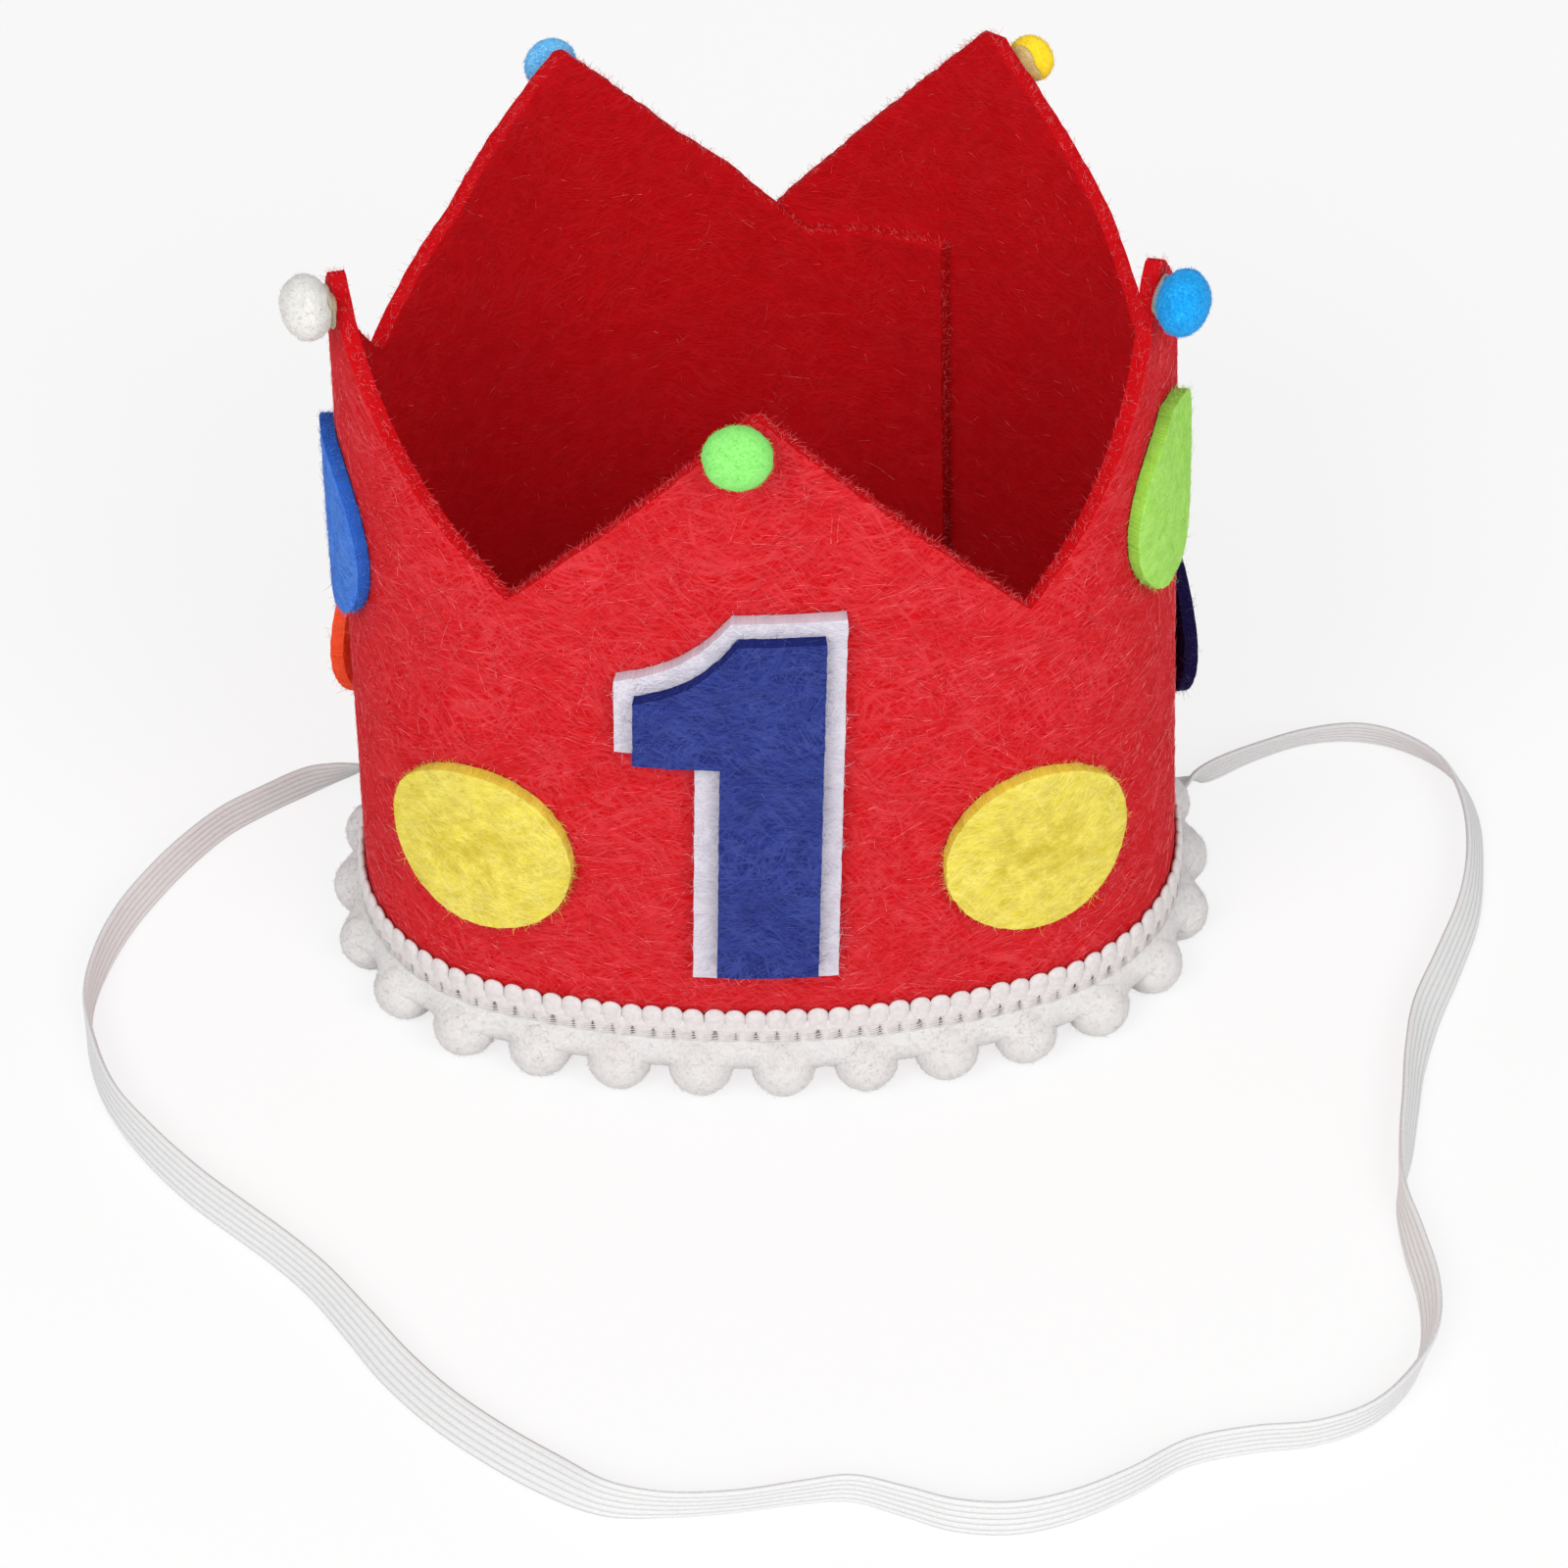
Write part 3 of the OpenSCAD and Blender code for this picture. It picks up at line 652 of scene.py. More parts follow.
for felt_kind, (base, dark, light, shares, wisp_dark, wisp_light) in FELT_TONES.items():
    plain_name = felt_kind.replace("_", " ")
    FELTS[felt_kind] = felt(plain_name + " felt", base, dark, light, *shares)
    WISP_FINISH[felt_kind] = strand_finish(plain_name + " wisps", wisp_dark, wisp_light)
WISPS = wisps_tree()
FLUFF = fluff_ball_tree()


def resampled(corners, step, closed=True):
    """Points along a polygon, no further than step apart."""
    line = []
    count = len(corners)
    for i in range(count if closed else count - 1):
        a = np.array(corners[i], float)
        b = np.array(corners[(i + 1) % count], float)
        parts = max(1, math.ceil(np.linalg.norm(b - a) / step))
        line += [a + (b - a) * k / parts for k in range(parts)]
    return line


def mark(mesh, name, values):
    """Writes one number for each point, for materials and strands to read."""
    mesh.attributes.new(name, "FLOAT", "POINT").data.foreach_set("value", np.clip(values, 0, 1))


def cut_sheet(name, outline, thick, outside, grid, seed, ragged=0.1, soft=0.35):
    """A flat piece of felt cut to an outline, its outer face at y = -outside, ready to roll."""
    draw = np.random.RandomState(seed)
    bm = bmesh.new()
    corners = [bm.verts.new((s + draw.uniform(-ragged, ragged), -outside,
                             z + draw.uniform(-ragged, ragged))) for s, z in outline]
    bm.faces.new(corners)
    low = np.min(outline, axis=0)
    high = np.max(outline, axis=0)
    for axis, direction in ((0, (1, 0, 0)), (1, (0, 0, 1))):
        for cut in np.arange(low[axis] + grid * 0.37, high[axis], grid):
            place = (cut, 0, 0) if axis == 0 else (0, 0, cut)
            bmesh.ops.bisect_plane(bm, geom=bm.verts[:] + bm.edges[:] + bm.faces[:],
                                   plane_co=place, plane_no=direction, dist=0.02)
    obj = new_object(name, mesh_of(name, bm))
    solid = obj.modifiers.new("thickness", "SOLIDIFY")
    solid.thickness = thick
    solid.offset = -1
    edge = obj.modifiers.new("soft edge", "BEVEL")
    edge.width = soft
    edge.segments = 2
    edge.limit_method = "ANGLE"
    edge.angle_limit = math.radians(55)
    settle(obj)
    uv = obj.data.uv_layers.new(name="pattern")
    co = points_of(obj.data)
    normals = np.empty(len(co) * 3)
    obj.data.vertices.foreach_get("normal", normals)
    flat = np.abs(normals[1::3])
    near_outside = (thick * 0.7 - outside - co[:, 1]) / (0.4 * thick)
    mark(obj.data, "outer", np.minimum(near_outside, 4 * flat - 2.6))
    mark(obj.data, "cut", 1.5 - 1.7 * flat)
    edge = np.array(outline)
    inland = [np.hypot(edge[:, 0] - x, edge[:, 1] - z).min() for x, z in co[:, [0, 2]]]
    mark(obj.data, "inland", np.array(inland) / INLAND_SPAN)
    loops = np.empty(len(obj.data.loops), int)
    obj.data.loops.foreach_get("vertex_index", loops)
    uv.data.foreach_set("uv", (co[loops][:, [0, 2]] / 100).ravel())
    return obj


def wisps_for(sheet, kind, lap=False, **sizes):
    """Loose fibres over a flat sheet, rolled up with it."""
    wisps = new_object(sheet.name + "_wisps_" + sizes.pop("label"), sheet.data.copy())
    use_tree(wisps, WISPS, finish=WISP_FINISH[kind], **sizes)
    roll_up(wisps.data, lap)
    dress(wisps, WISP_FINISH[kind], kind + "_felt")
    return wisps


def finish_sheet(sheet, kind, node, lap=False):
    roll_up(sheet.data, lap)
    smooth(sheet.data)
    dress(sheet, FELTS[kind], kind + "_felt", node)


def felt_band():
    bottom = [(STRIP_START, FELT_BOTTOM), (STRIP_END, FELT_BOTTOM)]
    first_tip = POINT_HEIGHT + TIP_HEIGHTS[0]
    top = [(STRIP_START, VALLEY_HEIGHT), (SEAM, SEAM_HEIGHT),
           ((SEAM + TIP_PLACES[0]) / 2, (SEAM_HEIGHT + first_tip) / 2 - SEAM_HOLLOW)]
    for i, (place, height, blunt) in enumerate(zip(TIP_PLACES, TIP_HEIGHTS, TIP_BLUNTS)):
        tip = POINT_HEIGHT + height
        top.append((place - blunt / 2, tip))
        top.append((place + blunt / 2, tip))
        if i < 4:
            top.append((VALLEY_PLACES[i], VALLEY_HEIGHT + VALLEY_HEIGHTS[i]))
    top.append((STRIP_END, VALLEY_HEIGHT + 1))
    outline = resampled(bottom + top[::-1], 1.3)
    sheet = cut_sheet("red_felt_band", outline, BAND_FELT, 0, 3, seed=11, ragged=0.14, soft=0.85)
    wisps_for(sheet, "red", True, label="long", density=0.07, length=12.0, radius=0.05, joints=6,
              lowest_tilt=-0.015, highest_tilt=0.02, curl=7.0, curl_size=8.0, lift=0.12,
              scatter=1.3, flow_swing=2.4, thinning=0.97, overhang=0.2, seed=3)
    wisps_for(sheet, "red", True, label="short", density=0.22, length=2.6, radius=0.03, joints=4,
              lowest_tilt=0.0, highest_tilt=0.15, curl=1.2, curl_size=2.5, lift=0.2, thinning=0.85,
              overhang=0.4, seed=5)
    wisps_for(sheet, "red", True, label="edge", density=2.4, length=1.5, radius=0.035, joints=3,
              lowest_tilt=0.1, highest_tilt=1.2, curl=1.0, curl_size=1.2, where="cut",
              thinning=1.0, seed=6)
    finish_sheet(sheet, "red", "felt_band", lap=True)


def spot(label, s, z, kind, stand_off, seed):
    turns = np.linspace(0, 2 * math.pi, 96, endpoint=False)
    outline = [(s + SPOT_RADIUS * math.cos(a), z + SPOT_RADIUS * math.sin(a)) for a in turns]
    sheet = cut_sheet("felt_spot_" + label, outline, PATCH_FELT, GLUE_LINE + PATCH_FELT, 3, seed,
                      ragged=0.1, soft=0.75)
    co = points_of(sheet.data)
    across = (co[:, 0] - s) / SPOT_RADIUS
    rise = (co[:, 2] - z) / SPOT_RADIUS
    co[:, 1] -= stand_off * across**2
    set_points(sheet.data, co)
    if kind == "yellow":
        mark(sheet.data, "glued", 0.9 - 2.2 * (across**2 + rise**2))
    wisps_for(sheet, kind, label="loose", density=0.5, length=2.6, radius=0.03, joints=4,
              lowest_tilt=0.0, highest_tilt=0.25, curl=1.8, curl_size=2.0, lift=0.4, seed=seed)
    wisps_for(sheet, kind, label="edge", density=3.0, length=1.1, radius=0.03, joints=3,
              lowest_tilt=0.1, highest_tilt=1.2, curl=0.8, curl_size=1.2, where="cut", thinning=1.0,
              seed=seed)
    finish_sheet(sheet, kind, "spot_" + label)


def numeral_outline(grow):
    """The numeral's outline; grow is the border that the white layer shows round the blue."""
    right = STEM_EDGE + grow
    left = STEM_EDGE - STEM_WIDTH - 1.2 * grow
    tip = STEM_EDGE - STEM_WIDTH - FLAG_REACH - grow
    bend = left + 2.2 + 0.9 * grow
    low = NUMERAL_BOTTOM - 0.65 * grow
    high = NUMERAL_BOTTOM + NUMERAL_HEIGHT + 0.8 * grow
    under = NUMERAL_BOTTOM + 0.642 * NUMERAL_HEIGHT + 0.2 * grow
    over = NUMERAL_BOTTOM + 0.824 * NUMERAL_HEIGHT + 0.7 * grow
    brow = [(tip + (bend - tip) * g, over + (high - over) * (0.42 * g + 0.58 * g**3))
            for g in np.linspace(1, 0, 12)]
    corners = [(left, low), (right, low), (right, high)] + brow + [(tip, under), (left, under)]
    middle = NUMERAL_BOTTOM + NUMERAL_HEIGHT / 2
    return [(s + NUMERAL_SLANT * (z - middle), z) for s, z in resampled(corners, 1.2)]


def numeral():
    layers = (("numeral_white_layer", NUMERAL_BORDER, 1, "white", "numeral_backing"),
              ("numeral_blue_layer", 0, 2, "numeral_blue", "numeral_face"))
    for name, grow, level, kind, node in layers:
        sheet = cut_sheet(name, numeral_outline(grow), PATCH_FELT,
                          level * (GLUE_LINE + PATCH_FELT), 3, seed=31 + grow,
                          ragged=0.06, soft=0.3)
        wisps_for(sheet, kind, label="loose", density=0.5, length=2.4, radius=0.03, joints=4,
                  lowest_tilt=0.0, highest_tilt=0.25, curl=1.6, curl_size=2.0, lift=0.4, seed=7)
        finish_sheet(sheet, kind, node)


def fluffy(name, dark, base, light, grain):
    """Finish of a soft ball: matt, a little lighter where strands catch the light."""
    material, tree, shader, place = new_material(name)
    drift = ranged(tree, noise_at(tree, place, grain, 4.0, roughness=0.7), 0.3, 0.7)
    tone = mixed(tree, drift, color(*dark), color(*base))
    fine = noise_at(tree, place, grain * 4, 2.0)
    tone = mixed(tree, ranged(tree, fine, 0.5, 0.75), tone, color(*light))
    set_shader(tree, shader, base_color=tone, roughness=0.95, specular_ior_level=0.15,
               sheen_weight=0.08)
    bump_from(tree, shader, fine, 0.4)
    return material


POMPOM_FINISH = {
    "green": fluffy("green pompom", (134, 224, 110), (145, 231, 119), (160, 238, 136), 700),
    "blue": fluffy("blue pompom", (16, 148, 224), (22, 164, 236), (56, 182, 244), 700),
    "white": fluffy("white pompom", (219, 217, 212), (225, 223, 219), (231, 230, 227), 700),
    "sky": fluffy("sky blue pompom", (84, 172, 232), (110, 194, 245), (160, 216, 250), 700),
    "yellow": fluffy("yellow pompom", (248, 212, 28), (255, 224, 40), (255, 232, 84), 700),
}
TRIM_BALL_FINISH = fluffy("trim ball fluff", (214, 212, 211), (219, 217, 216), (224, 223, 222), 500)


def pompom_place(point, beside, below):
    """Where a pompom sits on the flat strip."""
    return TIP_PLACES[point] + beside, POINT_HEIGHT + TIP_HEIGHTS[point] - below


def soft_ball(name, ball_radius, finish, **sizes):
    ball = new_object(name)
    use_tree(ball, FLUFF, ball_radius=ball_radius, finish=finish, **sizes)
    return ball


def pompoms():
    for number, (label, (point, diameter, beside, below, kind)) in enumerate(POMPOMS.items()):
        ball = soft_ball(
            "pompom_ball_" + label, diameter / 2 - 0.15, POMPOM_FINISH[kind], lumps=0.45,
            lump_size=2.2, density=4.5, length=0.9, radius=0.03, joints=3, lowest_tilt=0.05,
            highest_tilt=0.5, curl=0.6, curl_size=0.8, seed=40 + number)
        s, z = pompom_place(point, beside, below)
        put_on_wall(ball.data, s, z, diameter / 2 * POMPOM_PRESS + DAB_FILM, press=POMPOM_PRESS)
        dress(ball, POMPOM_FINISH[kind], kind + "_pompom", "pompom_" + label)


def trim_balls():
    for i in range(BALL_COUNT):
        ball = soft_ball(
            f"trim_fluff_{i + 1}", BALL_DIAMETER / 2 - 0.15, TRIM_BALL_FINISH, lumps=0.35,
            lump_size=3.5, density=2.2, length=1.1, radius=0.03, joints=3, lowest_tilt=0.0,
            highest_tilt=0.45, curl=0.8, curl_size=1.0, seed=100 + i)
        put_on_wall(ball.data, BALL_FIRST + i * BALL_PITCH, BALL_MIDDLE, BALL_OUT, lowest=0.0001)
        dress(ball, TRIM_BALL_FINISH, "trim_ball", f"trim_ball_{i + 1}")


def trim_rib_tree():
    """The trim's upright ribs with round loops at their tops, and the threads that cross them."""
    tree, given, result = new_tree(
        "trim_ribs", "GeometryNodeTree",
        {"Tape": "NodeSocketGeometry", "Count": 120,
         "Pitch": 3.0, "Start": 0.0,
         "Rib Bottom": 8.0, "Rib Top": 15.8,
         "Rib Radius": 1.4, "Flatness": 0.45,
         "Out": 0.55, "Waist": 0.86,
         "Threads": 8, "Thread Radius": 0.13,
         "Finish": "NodeSocketMaterial"},
        {"Ribs": "NodeSocketGeometry"})
    rise = minus(tree, given["Rib Top"], given["Rib Bottom"])
    spine = put(tree, "GeometryNodeCurvePrimitiveLine", {"End": xyz(tree, z=rise)})
    spine = put(tree, "GeometryNodeResampleCurve", {"Curve": spine, "Count": 22})
    along = put(tree, "GeometryNodeSplineParameter").outputs["Factor"]
    head = ranged(tree, along, 0.6, 0.72, interpolation="SMOOTHSTEP")
    foot = ranged(tree, along, 0.26, 0.12, interpolation="SMOOTHSTEP")
    fused = maths(tree, "MAXIMUM", head, foot)
    swell = times(tree, fused, minus(tree, 1.05, given["Waist"]))
    waist = plus(tree, given["Waist"], swell)
    dome = minus(tree, 1.0, maths(tree, "DIVIDE", given["Rib Radius"], rise))
    end = maths(tree, "POWER", ranged(tree, along, dome, 1.0), 2.0)
    round_off = maths(tree, "SQRT", minus(tree, 1.0, end))
    width = times(tree, waist, maths(tree, "MAXIMUM", round_off, 0.02))
    rib = tube(tree, spine, 12, given["Rib Radius"], scale=width, fill_caps=True)
    flat = xyz(tree, x=1.0, y=given["Flatness"], z=1.0)
    rib = put(tree, "GeometryNodeTransform", {"Geometry": rib, "Scale": flat})
    first = xyz(tree, x=given["Start"], y=times(tree, given["Out"], -1.0), z=given["Rib Bottom"])
    row = put(tree, "GeometryNodeMeshLine", {
        "Count": given["Count"], "Start Location": first, "Offset": xyz(tree, x=given["Pitch"])},
        mode="OFFSET", count_mode="TOTAL")
    nudge = xyz(tree, x=random_number(tree, -0.1, 0.1, 1), z=random_number(tree, -0.12, 0.12, 2))
    row = put(tree, "GeometryNodeSetPosition", {"Geometry": row, "Offset": nudge})
    ribs = put(tree, "GeometryNodeInstanceOnPoints", {
        "Points": row, "Instance": rib,
        "Rotation": xyz(tree, y=random_number(tree, -0.03, 0.03, 3))})
    ribs = put(tree, "GeometryNodeRealizeInstances", {0: ribs})
    length = times(tree, given["Pitch"], given["Count"])
    thread = put(tree, "GeometryNodeCurvePrimitiveLine", {"End": xyz(tree, x=length)})
    joints = times(tree, given["Count"], 6.0)
    thread = put(tree, "GeometryNodeResampleCurve", {"Curve": thread, "Count": joints})
    place = put(tree, "GeometryNodeInputPosition").outputs[0]
    x = put(tree, "ShaderNodeSeparateXYZ", {0: place}).outputs["X"]
    phase = times(tree, maths(tree, "DIVIDE", x, given["Pitch"]), 2 * math.pi)
    sag = times(tree, maths(tree, "COSINE", phase), -0.14)
    waver = minus(tree, noise_at(tree, place, 0.35, 2.0), 0.5)
    bend = xyz(tree, y=sag, z=times(tree, waver, 0.7))
    half_pitch = times(tree, given["Pitch"], 0.5)
    stack_from = xyz(tree, x=minus(tree, given["Start"], half_pitch),
                     y=minus(tree, -0.48, given["Out"]),
                     z=plus(tree, given["Rib Bottom"], 0.9))
    gap = maths(tree, "DIVIDE", minus(tree, rise, 3.0), given["Threads"])
    stack = put(tree, "GeometryNodeMeshLine", {
        "Count": given["Threads"], "Start Location": stack_from, "Offset": xyz(tree, z=gap)},
        mode="OFFSET", count_mode="TOTAL")
    threads = put(tree, "GeometryNodeInstanceOnPoints", {
        "Points": stack, "Instance": thread})
    threads = put(tree, "GeometryNodeRealizeInstances", {0: threads})
    threads = put(tree, "GeometryNodeSetPosition", {"Geometry": threads, "Offset": bend})
    threads = tube(tree, threads, 5, given["Thread Radius"])
    ribs, threads = (put(tree, "GeometryNodeSetShadeSmooth", {0: part}).outputs[0]
                     for part in (ribs, threads))
    give(tree, given["Finish"], result, ribs, threads)
    return tree


def trim_yarn(name, base, dark):
    """White trim yarn: fine upright filaments as a grain between a dark and a base tone. The
    backing behind the ribs gets dark tones: painted shade in the trim's hollows, partly the red
    felt seen through it.
    """
    material, tree, shader, place = new_material(name)
    grain = noise_at(tree, place, 1400.0, 3.0, roughness=0.6)
    tone = mixed(tree, ranged(tree, grain, 0.3, 0.6), color(*dark), color(*base))
    set_shader(tree, shader, base_color=tone, roughness=0.8, specular_ior_level=0.25,
               sheen_weight=0.1)
    bump_from(tree, shader, grain, 0.35)
    return material


def trim():
    yarn = trim_yarn("trim yarn", (222, 217, 216), (208, 202, 202))
    # painted shade: the backing sheet behind the ribs is dark, partly the red felt seen through it
    backing = trim_yarn("trim backing", (178, 166, 170), (136, 122, 128))
    length = RING - TRIM_GAP
    loops = LOOPS_PER_BALL * BALL_COUNT
    pitch = length / loops
    tree = trim_rib_tree()
    shared = {"count": loops, "pitch": pitch, "rib_radius": pitch / 2, "finish": yarn}
    heads = new_object("trim_loop_heads")
    use_tree(heads, tree, start=TRIM_START + pitch / 2, rib_bottom=LOOP_HEAD_FROM,
             rib_top=TAPE_TOP + 0.1, flatness=0.4, out=0.66, waist=1.05, threads=0, **shared)
    roll_up(heads.data)
    dress(heads, yarn, "trim_tape", "trim_tape")
    shared["count"] = loops - 1
    ribs = new_object("trim_ribs_and_threads")
    use_tree(ribs, tree, start=TRIM_START + pitch, rib_bottom=RIB_BOTTOM, rib_top=RIB_TOP,
             flatness=0.34, out=0.6, waist=0.88, threads=9, thread_radius=0.07, **shared)
    roll_up(ribs.data)
    dress(ribs, yarn, "trim_tape")
    net = cut_sheet("trim_backing", resampled([
        (TRIM_START, 8), (TRIM_START + length, 8), (TRIM_START + length, TAPE_TOP - 1.4),
        (TRIM_START, TAPE_TOP - 1.4)], 3), 0.25, GLUE_LINE + 0.25, 3, seed=61, ragged=0, soft=0.05)
    roll_up(net.data)
    dress(net, backing, "trim_tape")
    border = cut_sheet("trim_plush_border", resampled([
        (TRIM_START, TAPE_BOTTOM), (TRIM_START + length, TAPE_BOTTOM),
        (TRIM_START + length, PLUSH_TOP), (TRIM_START, PLUSH_TOP)], 1.0), 0.9, GLUE_LINE + 1.0, 1.0,
        seed=62, ragged=0.12, soft=0.3)
    co = points_of(border.data)
    rise = np.clip((co[:, 2] - TAPE_BOTTOM) / (PLUSH_TOP - TAPE_BOTTOM), 0, 1)
    swell = np.sin(np.pi * rise) * (co[:, 1] < -0.6)
    at_ball = np.cos(np.pi * (co[:, 0] - BALL_FIRST) / BALL_PITCH) ** 2
    co[:, 1] -= swell * (PLUSH_SWELL + PLUSH_SWELL_AT_BALL * at_ball)
    set_points(border.data, co)
    fuzz = new_object("trim_plush_fuzz", border.data.copy())
    use_tree(fuzz, WISPS, density=2.2, length=1.1, radius=0.03, joints=3, lowest_tilt=0.0,
             highest_tilt=0.5, curl=0.8, curl_size=1.0, thinning=1.0, seed=63,
             finish=TRIM_BALL_FINISH)
    for piece in (border, fuzz):
        roll_up(piece.data)
        dress(piece, TRIM_BALL_FINISH, "trim_tape")
    smooth(border.data)


def half_height(lean):
    """Half the height of the strap, whose flat side leans."""
    return np.abs(np.cos(lean)) * STRAP_WIDTH / 2 + np.abs(np.sin(lean)) * STRAP_THICKNESS / 2


def strap_line():
    """The strap's smooth middle line and its lean, worked out from the route's rows."""
    rows = np.array(STRAP_ROUTE) * (MM, MM, MM, 1)
    lean = np.radians(rows[:, 3])
    rows = np.column_stack([rows[:, 0], rows[:, 1], rows[:, 2] + half_height(lean), lean])
    ends = np.vstack([2 * rows[0] - rows[1], rows, 2 * rows[-1] - rows[-2]])
    parts = 5
    line = []
    for i in range(1, len(ends) - 2):
        p0, p1, p2, p3 = ends[i - 1:i + 3]
        for k in range(parts):
            t = k / parts
            line.append(0.5 * (2 * p1 + (p2 - p0) * t + (2 * p0 - 5 * p1 + 4 * p2 - p3) * t**2
                               + (3 * p1 - p0 - 3 * p2 + p3) * t**3))
    line.append(rows[-1])
    line = np.array(line)
    line[:, 2] = np.maximum(line[:, 2], 0.0001 + half_height(line[:, 3]))
    return line


def strap_profile():
    """Half-round ribs along both faces of the elastic: place across and rise, as shares."""
    ribs = 6
    parts = 5
    side = []
    for i in range(ribs * parts + 1):
        w = i / (ribs * parts)
        bulge = abs(math.sin(math.pi * w * ribs))
        edge = min(1.0, 8 * min(w, 1 - w) + 0.3)
        side.append((w * 2 - 1, edge * (0.62 + 0.38 * bulge)))
    return side + [(w, -t) for w, t in side[::-1]]


def elastic_finish():
    material, tree, shader, place = new_material("white elastic", "UV")
    parts = put(tree, "ShaderNodeSeparateXYZ", {0: place})
    wave = maths(tree, "SINE", times(tree, parts.outputs["Y"], 6 * math.pi))
    groove = ranged(tree, maths(tree, "ABSOLUTE", wave), 0.0, 0.55)
    stitch = noise_at(tree, vectors(tree, "MULTIPLY", place, (160, 14, 1)), 1.0, 2.0)
    # painted shade: the grooves between the ribs get the darker tone
    tone = mixed(tree, groove, color(200, 199, 202), color(224, 224, 223))
    tone = mixed(tree, ranged(tree, stitch, 0.3, 0.5), color(218, 217, 219), tone)
    set_shader(tree, shader, base_color=tone, roughness=0.6, specular_ior_level=0.3)
    bump_from(tree, shader, plus(tree, groove, stitch), 0.4)
    return material


def elastic_strap():
    line = strap_line()
    profile = strap_profile()
    centres = line[:, :3]
    way = np.gradient(centres, axis=0)
    way /= np.linalg.norm(way, axis=1)[:, None]
    out = np.cross(way, (0, 0, 1))
    out /= np.linalg.norm(out, axis=1)[:, None]
    up = np.cross(out, way)
    cos, sin = np.cos(line[:, 3])[:, None], np.sin(line[:, 3])[:, None]
    thin_way = out * cos - up * sin
    wide_way = up * cos + out * sin
    travelled = np.concatenate([[0], np.cumsum(np.linalg.norm(np.diff(centres, axis=0), axis=1))])
    bm = bmesh.new()
    uv = bm.loops.layers.uv.new("strap")
    rings = []
    for i in range(len(line)):
        rings.append([bm.verts.new(centres[i] + wide_way[i] * w * STRAP_WIDTH / 2
                                   + thin_way[i] * t * STRAP_THICKNESS / 2) for w, t in profile])
    count = len(profile)
    for i in range(len(rings) - 1):
        for j in range(count):
            n = (j + 1) % count
            face = bm.faces.new((rings[i][j], rings[i + 1][j], rings[i + 1][n], rings[i][n]))
            for loop, (a, b) in zip(face.loops, ((i, j), (i + 1, j), (i + 1, n), (i, n))):
                loop[uv].uv = (travelled[a] * 10, (profile[b][0] + 1) / 2)
    bm.faces.new(rings[0])
    bm.faces.new(rings[-1][::-1])
    bmesh.ops.recalc_face_normals(bm, faces=bm.faces[:])
    strap = new_object("chin_strap", mesh_of("chin_strap", bm))
    smooth(strap.data, 60)
    dress(strap, elastic_finish(), "elastic", "elastic_strap")


def glue_finish():
    material, tree, shader, place = new_material("clear glue")
    grain = noise_at(tree, place, 500.0, 2.0)
    tone = mixed(tree, grain, color(222, 208, 170), color(242, 236, 218))
    set_shader(tree, shader, base_color=tone, roughness=0.25, transmission_weight=0.75, ior=1.48)
    bump_from(tree, shader, grain, 0.3, 0.0003)
    return material


def glue_dabs():
    """The set glue under each pompom: a lumpy, flattened dab."""
    finish = glue_finish()
    for number, (label, (point, diameter, beside, below, kind)) in enumerate(POMPOMS.items()):
        bm = bmesh.new()
        bmesh.ops.create_icosphere(bm, subdivisions=4, radius=1)
        draw = np.random.RandomState(70 + number)
        waves = draw.normal(0, 1.4, (5, 3))
        shifts = draw.uniform(0, 6, 5)
        for vert in bm.verts:
            p = np.array(vert.co)
            swell = 1 + 0.09 * float(np.sin(waves @ p * 2 + shifts).sum())
            sizes = np.array((GLUE_WIDE * swell, GLUE_THICK, GLUE_TALL * swell))
            vert.co = Vector(p * sizes)
        dab = new_object("glue_dab_" + label, mesh_of("glue_dab_" + label, bm))
        s, z = pompom_place(point, beside, below)
        put_on_wall(dab.data, s, z, GLUE_OUT)
        smooth(dab.data, 180)
        dress(dab, finish, "glue", "glue_" + label)


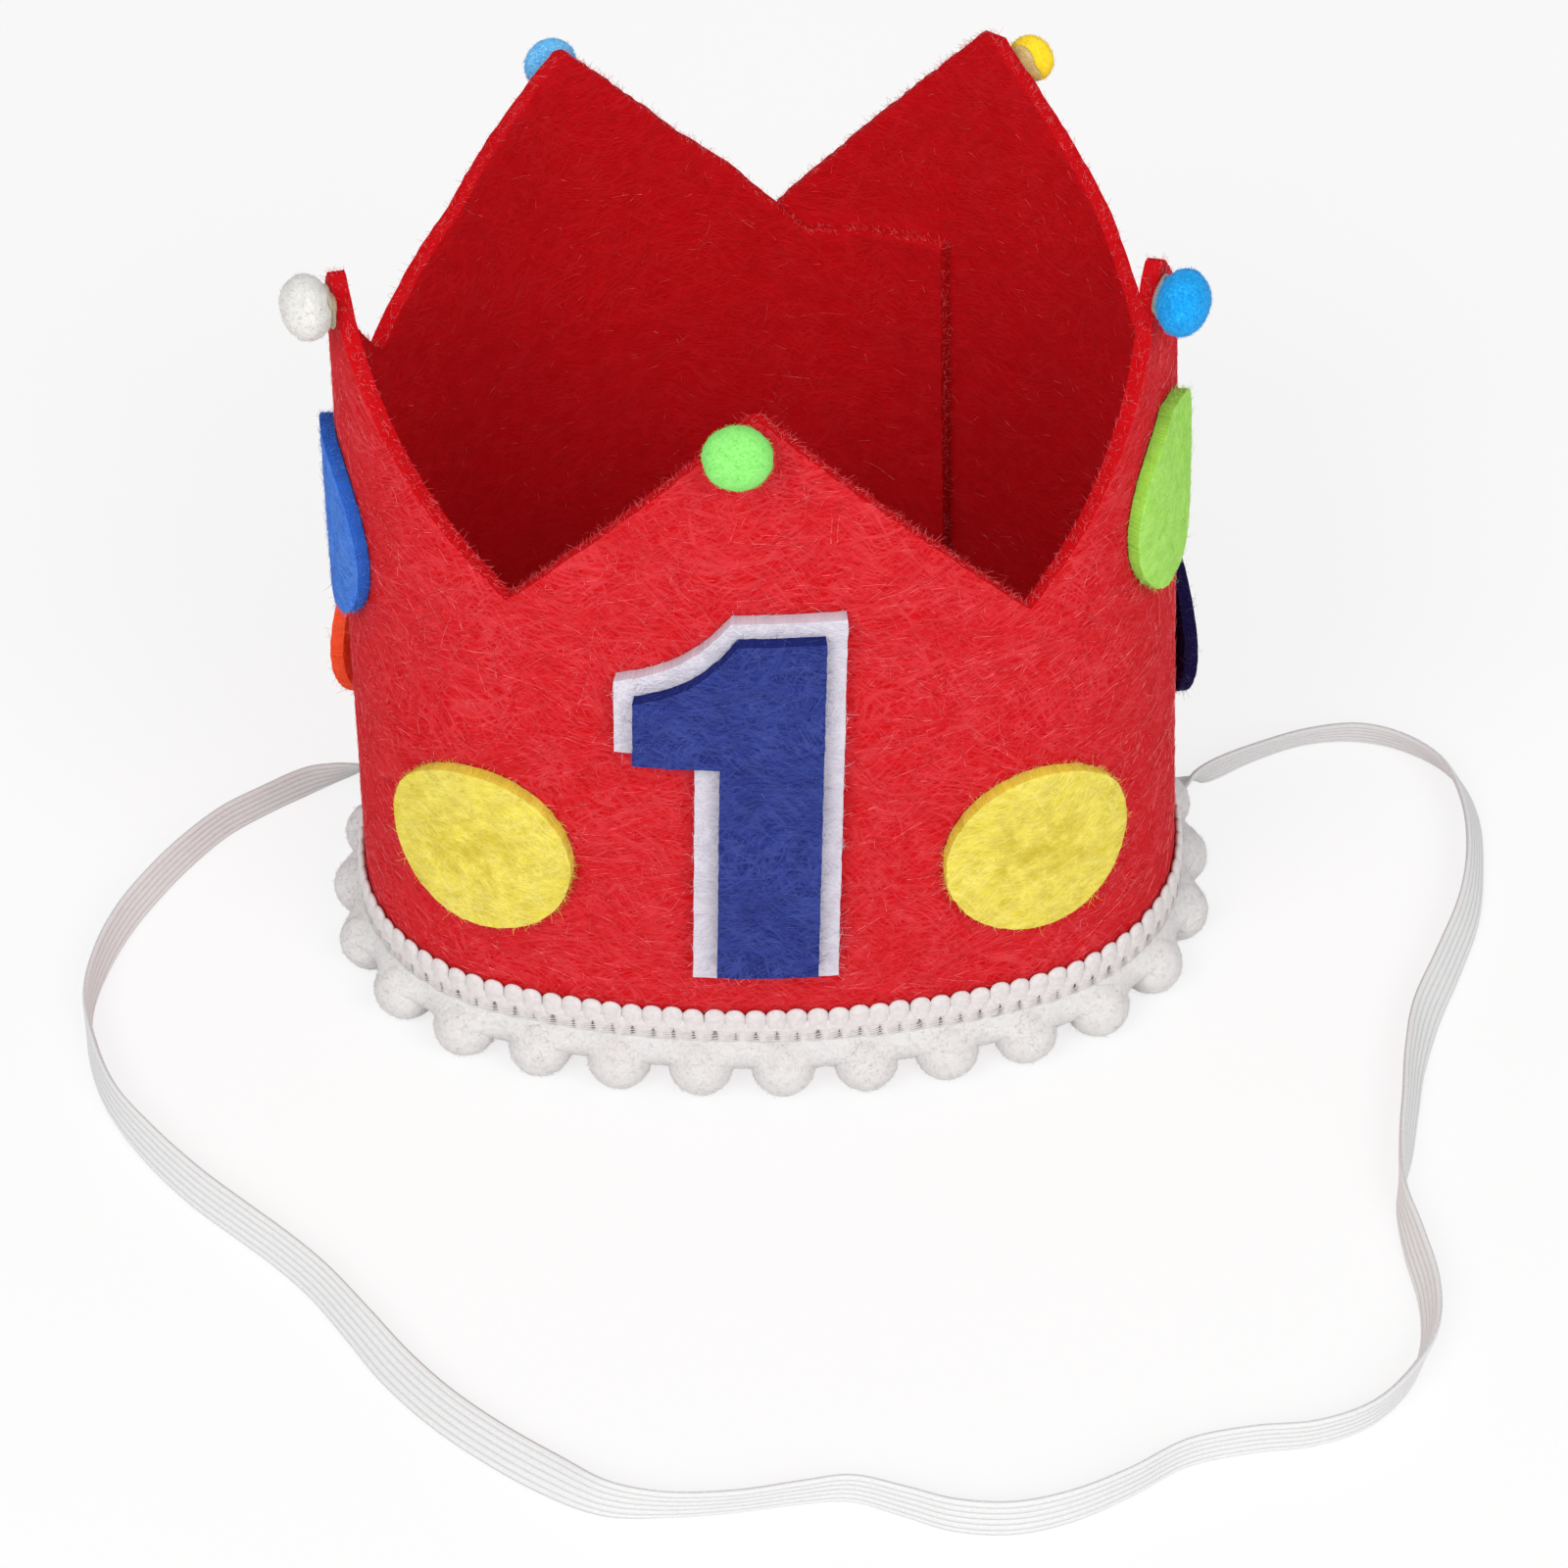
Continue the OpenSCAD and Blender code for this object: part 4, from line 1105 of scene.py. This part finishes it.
def floor_and_light():
    """A plain white floor that keeps the object's soft shadow, and soft studio light."""
    bm = bmesh.new()
    bmesh.ops.create_grid(bm, x_segments=1, y_segments=1, size=4)
    floor = new_object("floor", mesh_of("floor", bm))
    material = bpy.data.materials.new("white floor")
    material.use_nodes = True
    tree = material.node_tree
    tree.nodes.clear()
    plain = put(tree, "ShaderNodeBsdfDiffuse", {"Color": (0.93, 0.93, 0.93, 1)})
    white = put(tree, "ShaderNodeEmission", {"Color": (1, 1, 1, 1), "Strength": 1.0})
    rays = put(tree, "ShaderNodeLightPath")
    share = times(tree, rays.outputs["Is Camera Ray"], 0.75)
    blend = put(tree, "ShaderNodeMixShader", {0: share, 1: plain, 2: white})
    put(tree, "ShaderNodeOutputMaterial", {0: blend})
    floor.data.materials.append(material)
    world = bpy.data.worlds.new("studio")
    bpy.context.scene.world = world
    world.use_nodes = True
    tree = world.node_tree
    tree.nodes.clear()
    rays = put(tree, "ShaderNodeLightPath")
    seen = maths(tree, "MAXIMUM", rays.outputs["Is Camera Ray"], rays.outputs["Is Glossy Ray"])
    seen = maths(tree, "MAXIMUM", seen, rays.outputs["Is Transmission Ray"])
    fill = put(tree, "ShaderNodeBackground", {"Color": (1, 1, 1, 1), "Strength": 0.5})
    white = put(tree, "ShaderNodeBackground", {"Color": (1, 1, 1, 1), "Strength": 1.0})
    blend = put(tree, "ShaderNodeMixShader", {0: seen, 1: fill, 2: white})
    put(tree, "ShaderNodeOutputWorld", {0: blend})
    lamps = (("key", (-0.5, -0.9, 0.95), 0.8, 8.0), ("fill", (0.6, -0.9, 0.85), 0.8, 6.5))
    for name, place, size, power in lamps:
        data = bpy.data.lights.new(name, "AREA")
        data.shape = "DISK"
        data.size = size
        data.energy = power
        lamp = new_object(name, data)
        lamp.location = place
        aim = Vector((0, 0, 0.05)) - Vector(place)
        lamp.rotation_euler = aim.to_track_quat("-Z", "Y").to_euler()


elastic_strap()
felt_band()
for number, (label, (s, z, kind, stand_off)) in enumerate(SPOTS.items()):
    spot(label, s, z, kind, stand_off, 20 + number)
numeral()
trim()
trim_balls()
pompoms()
glue_dabs()
floor_and_light()
bpy.context.scene.view_settings.view_transform = "Standard"
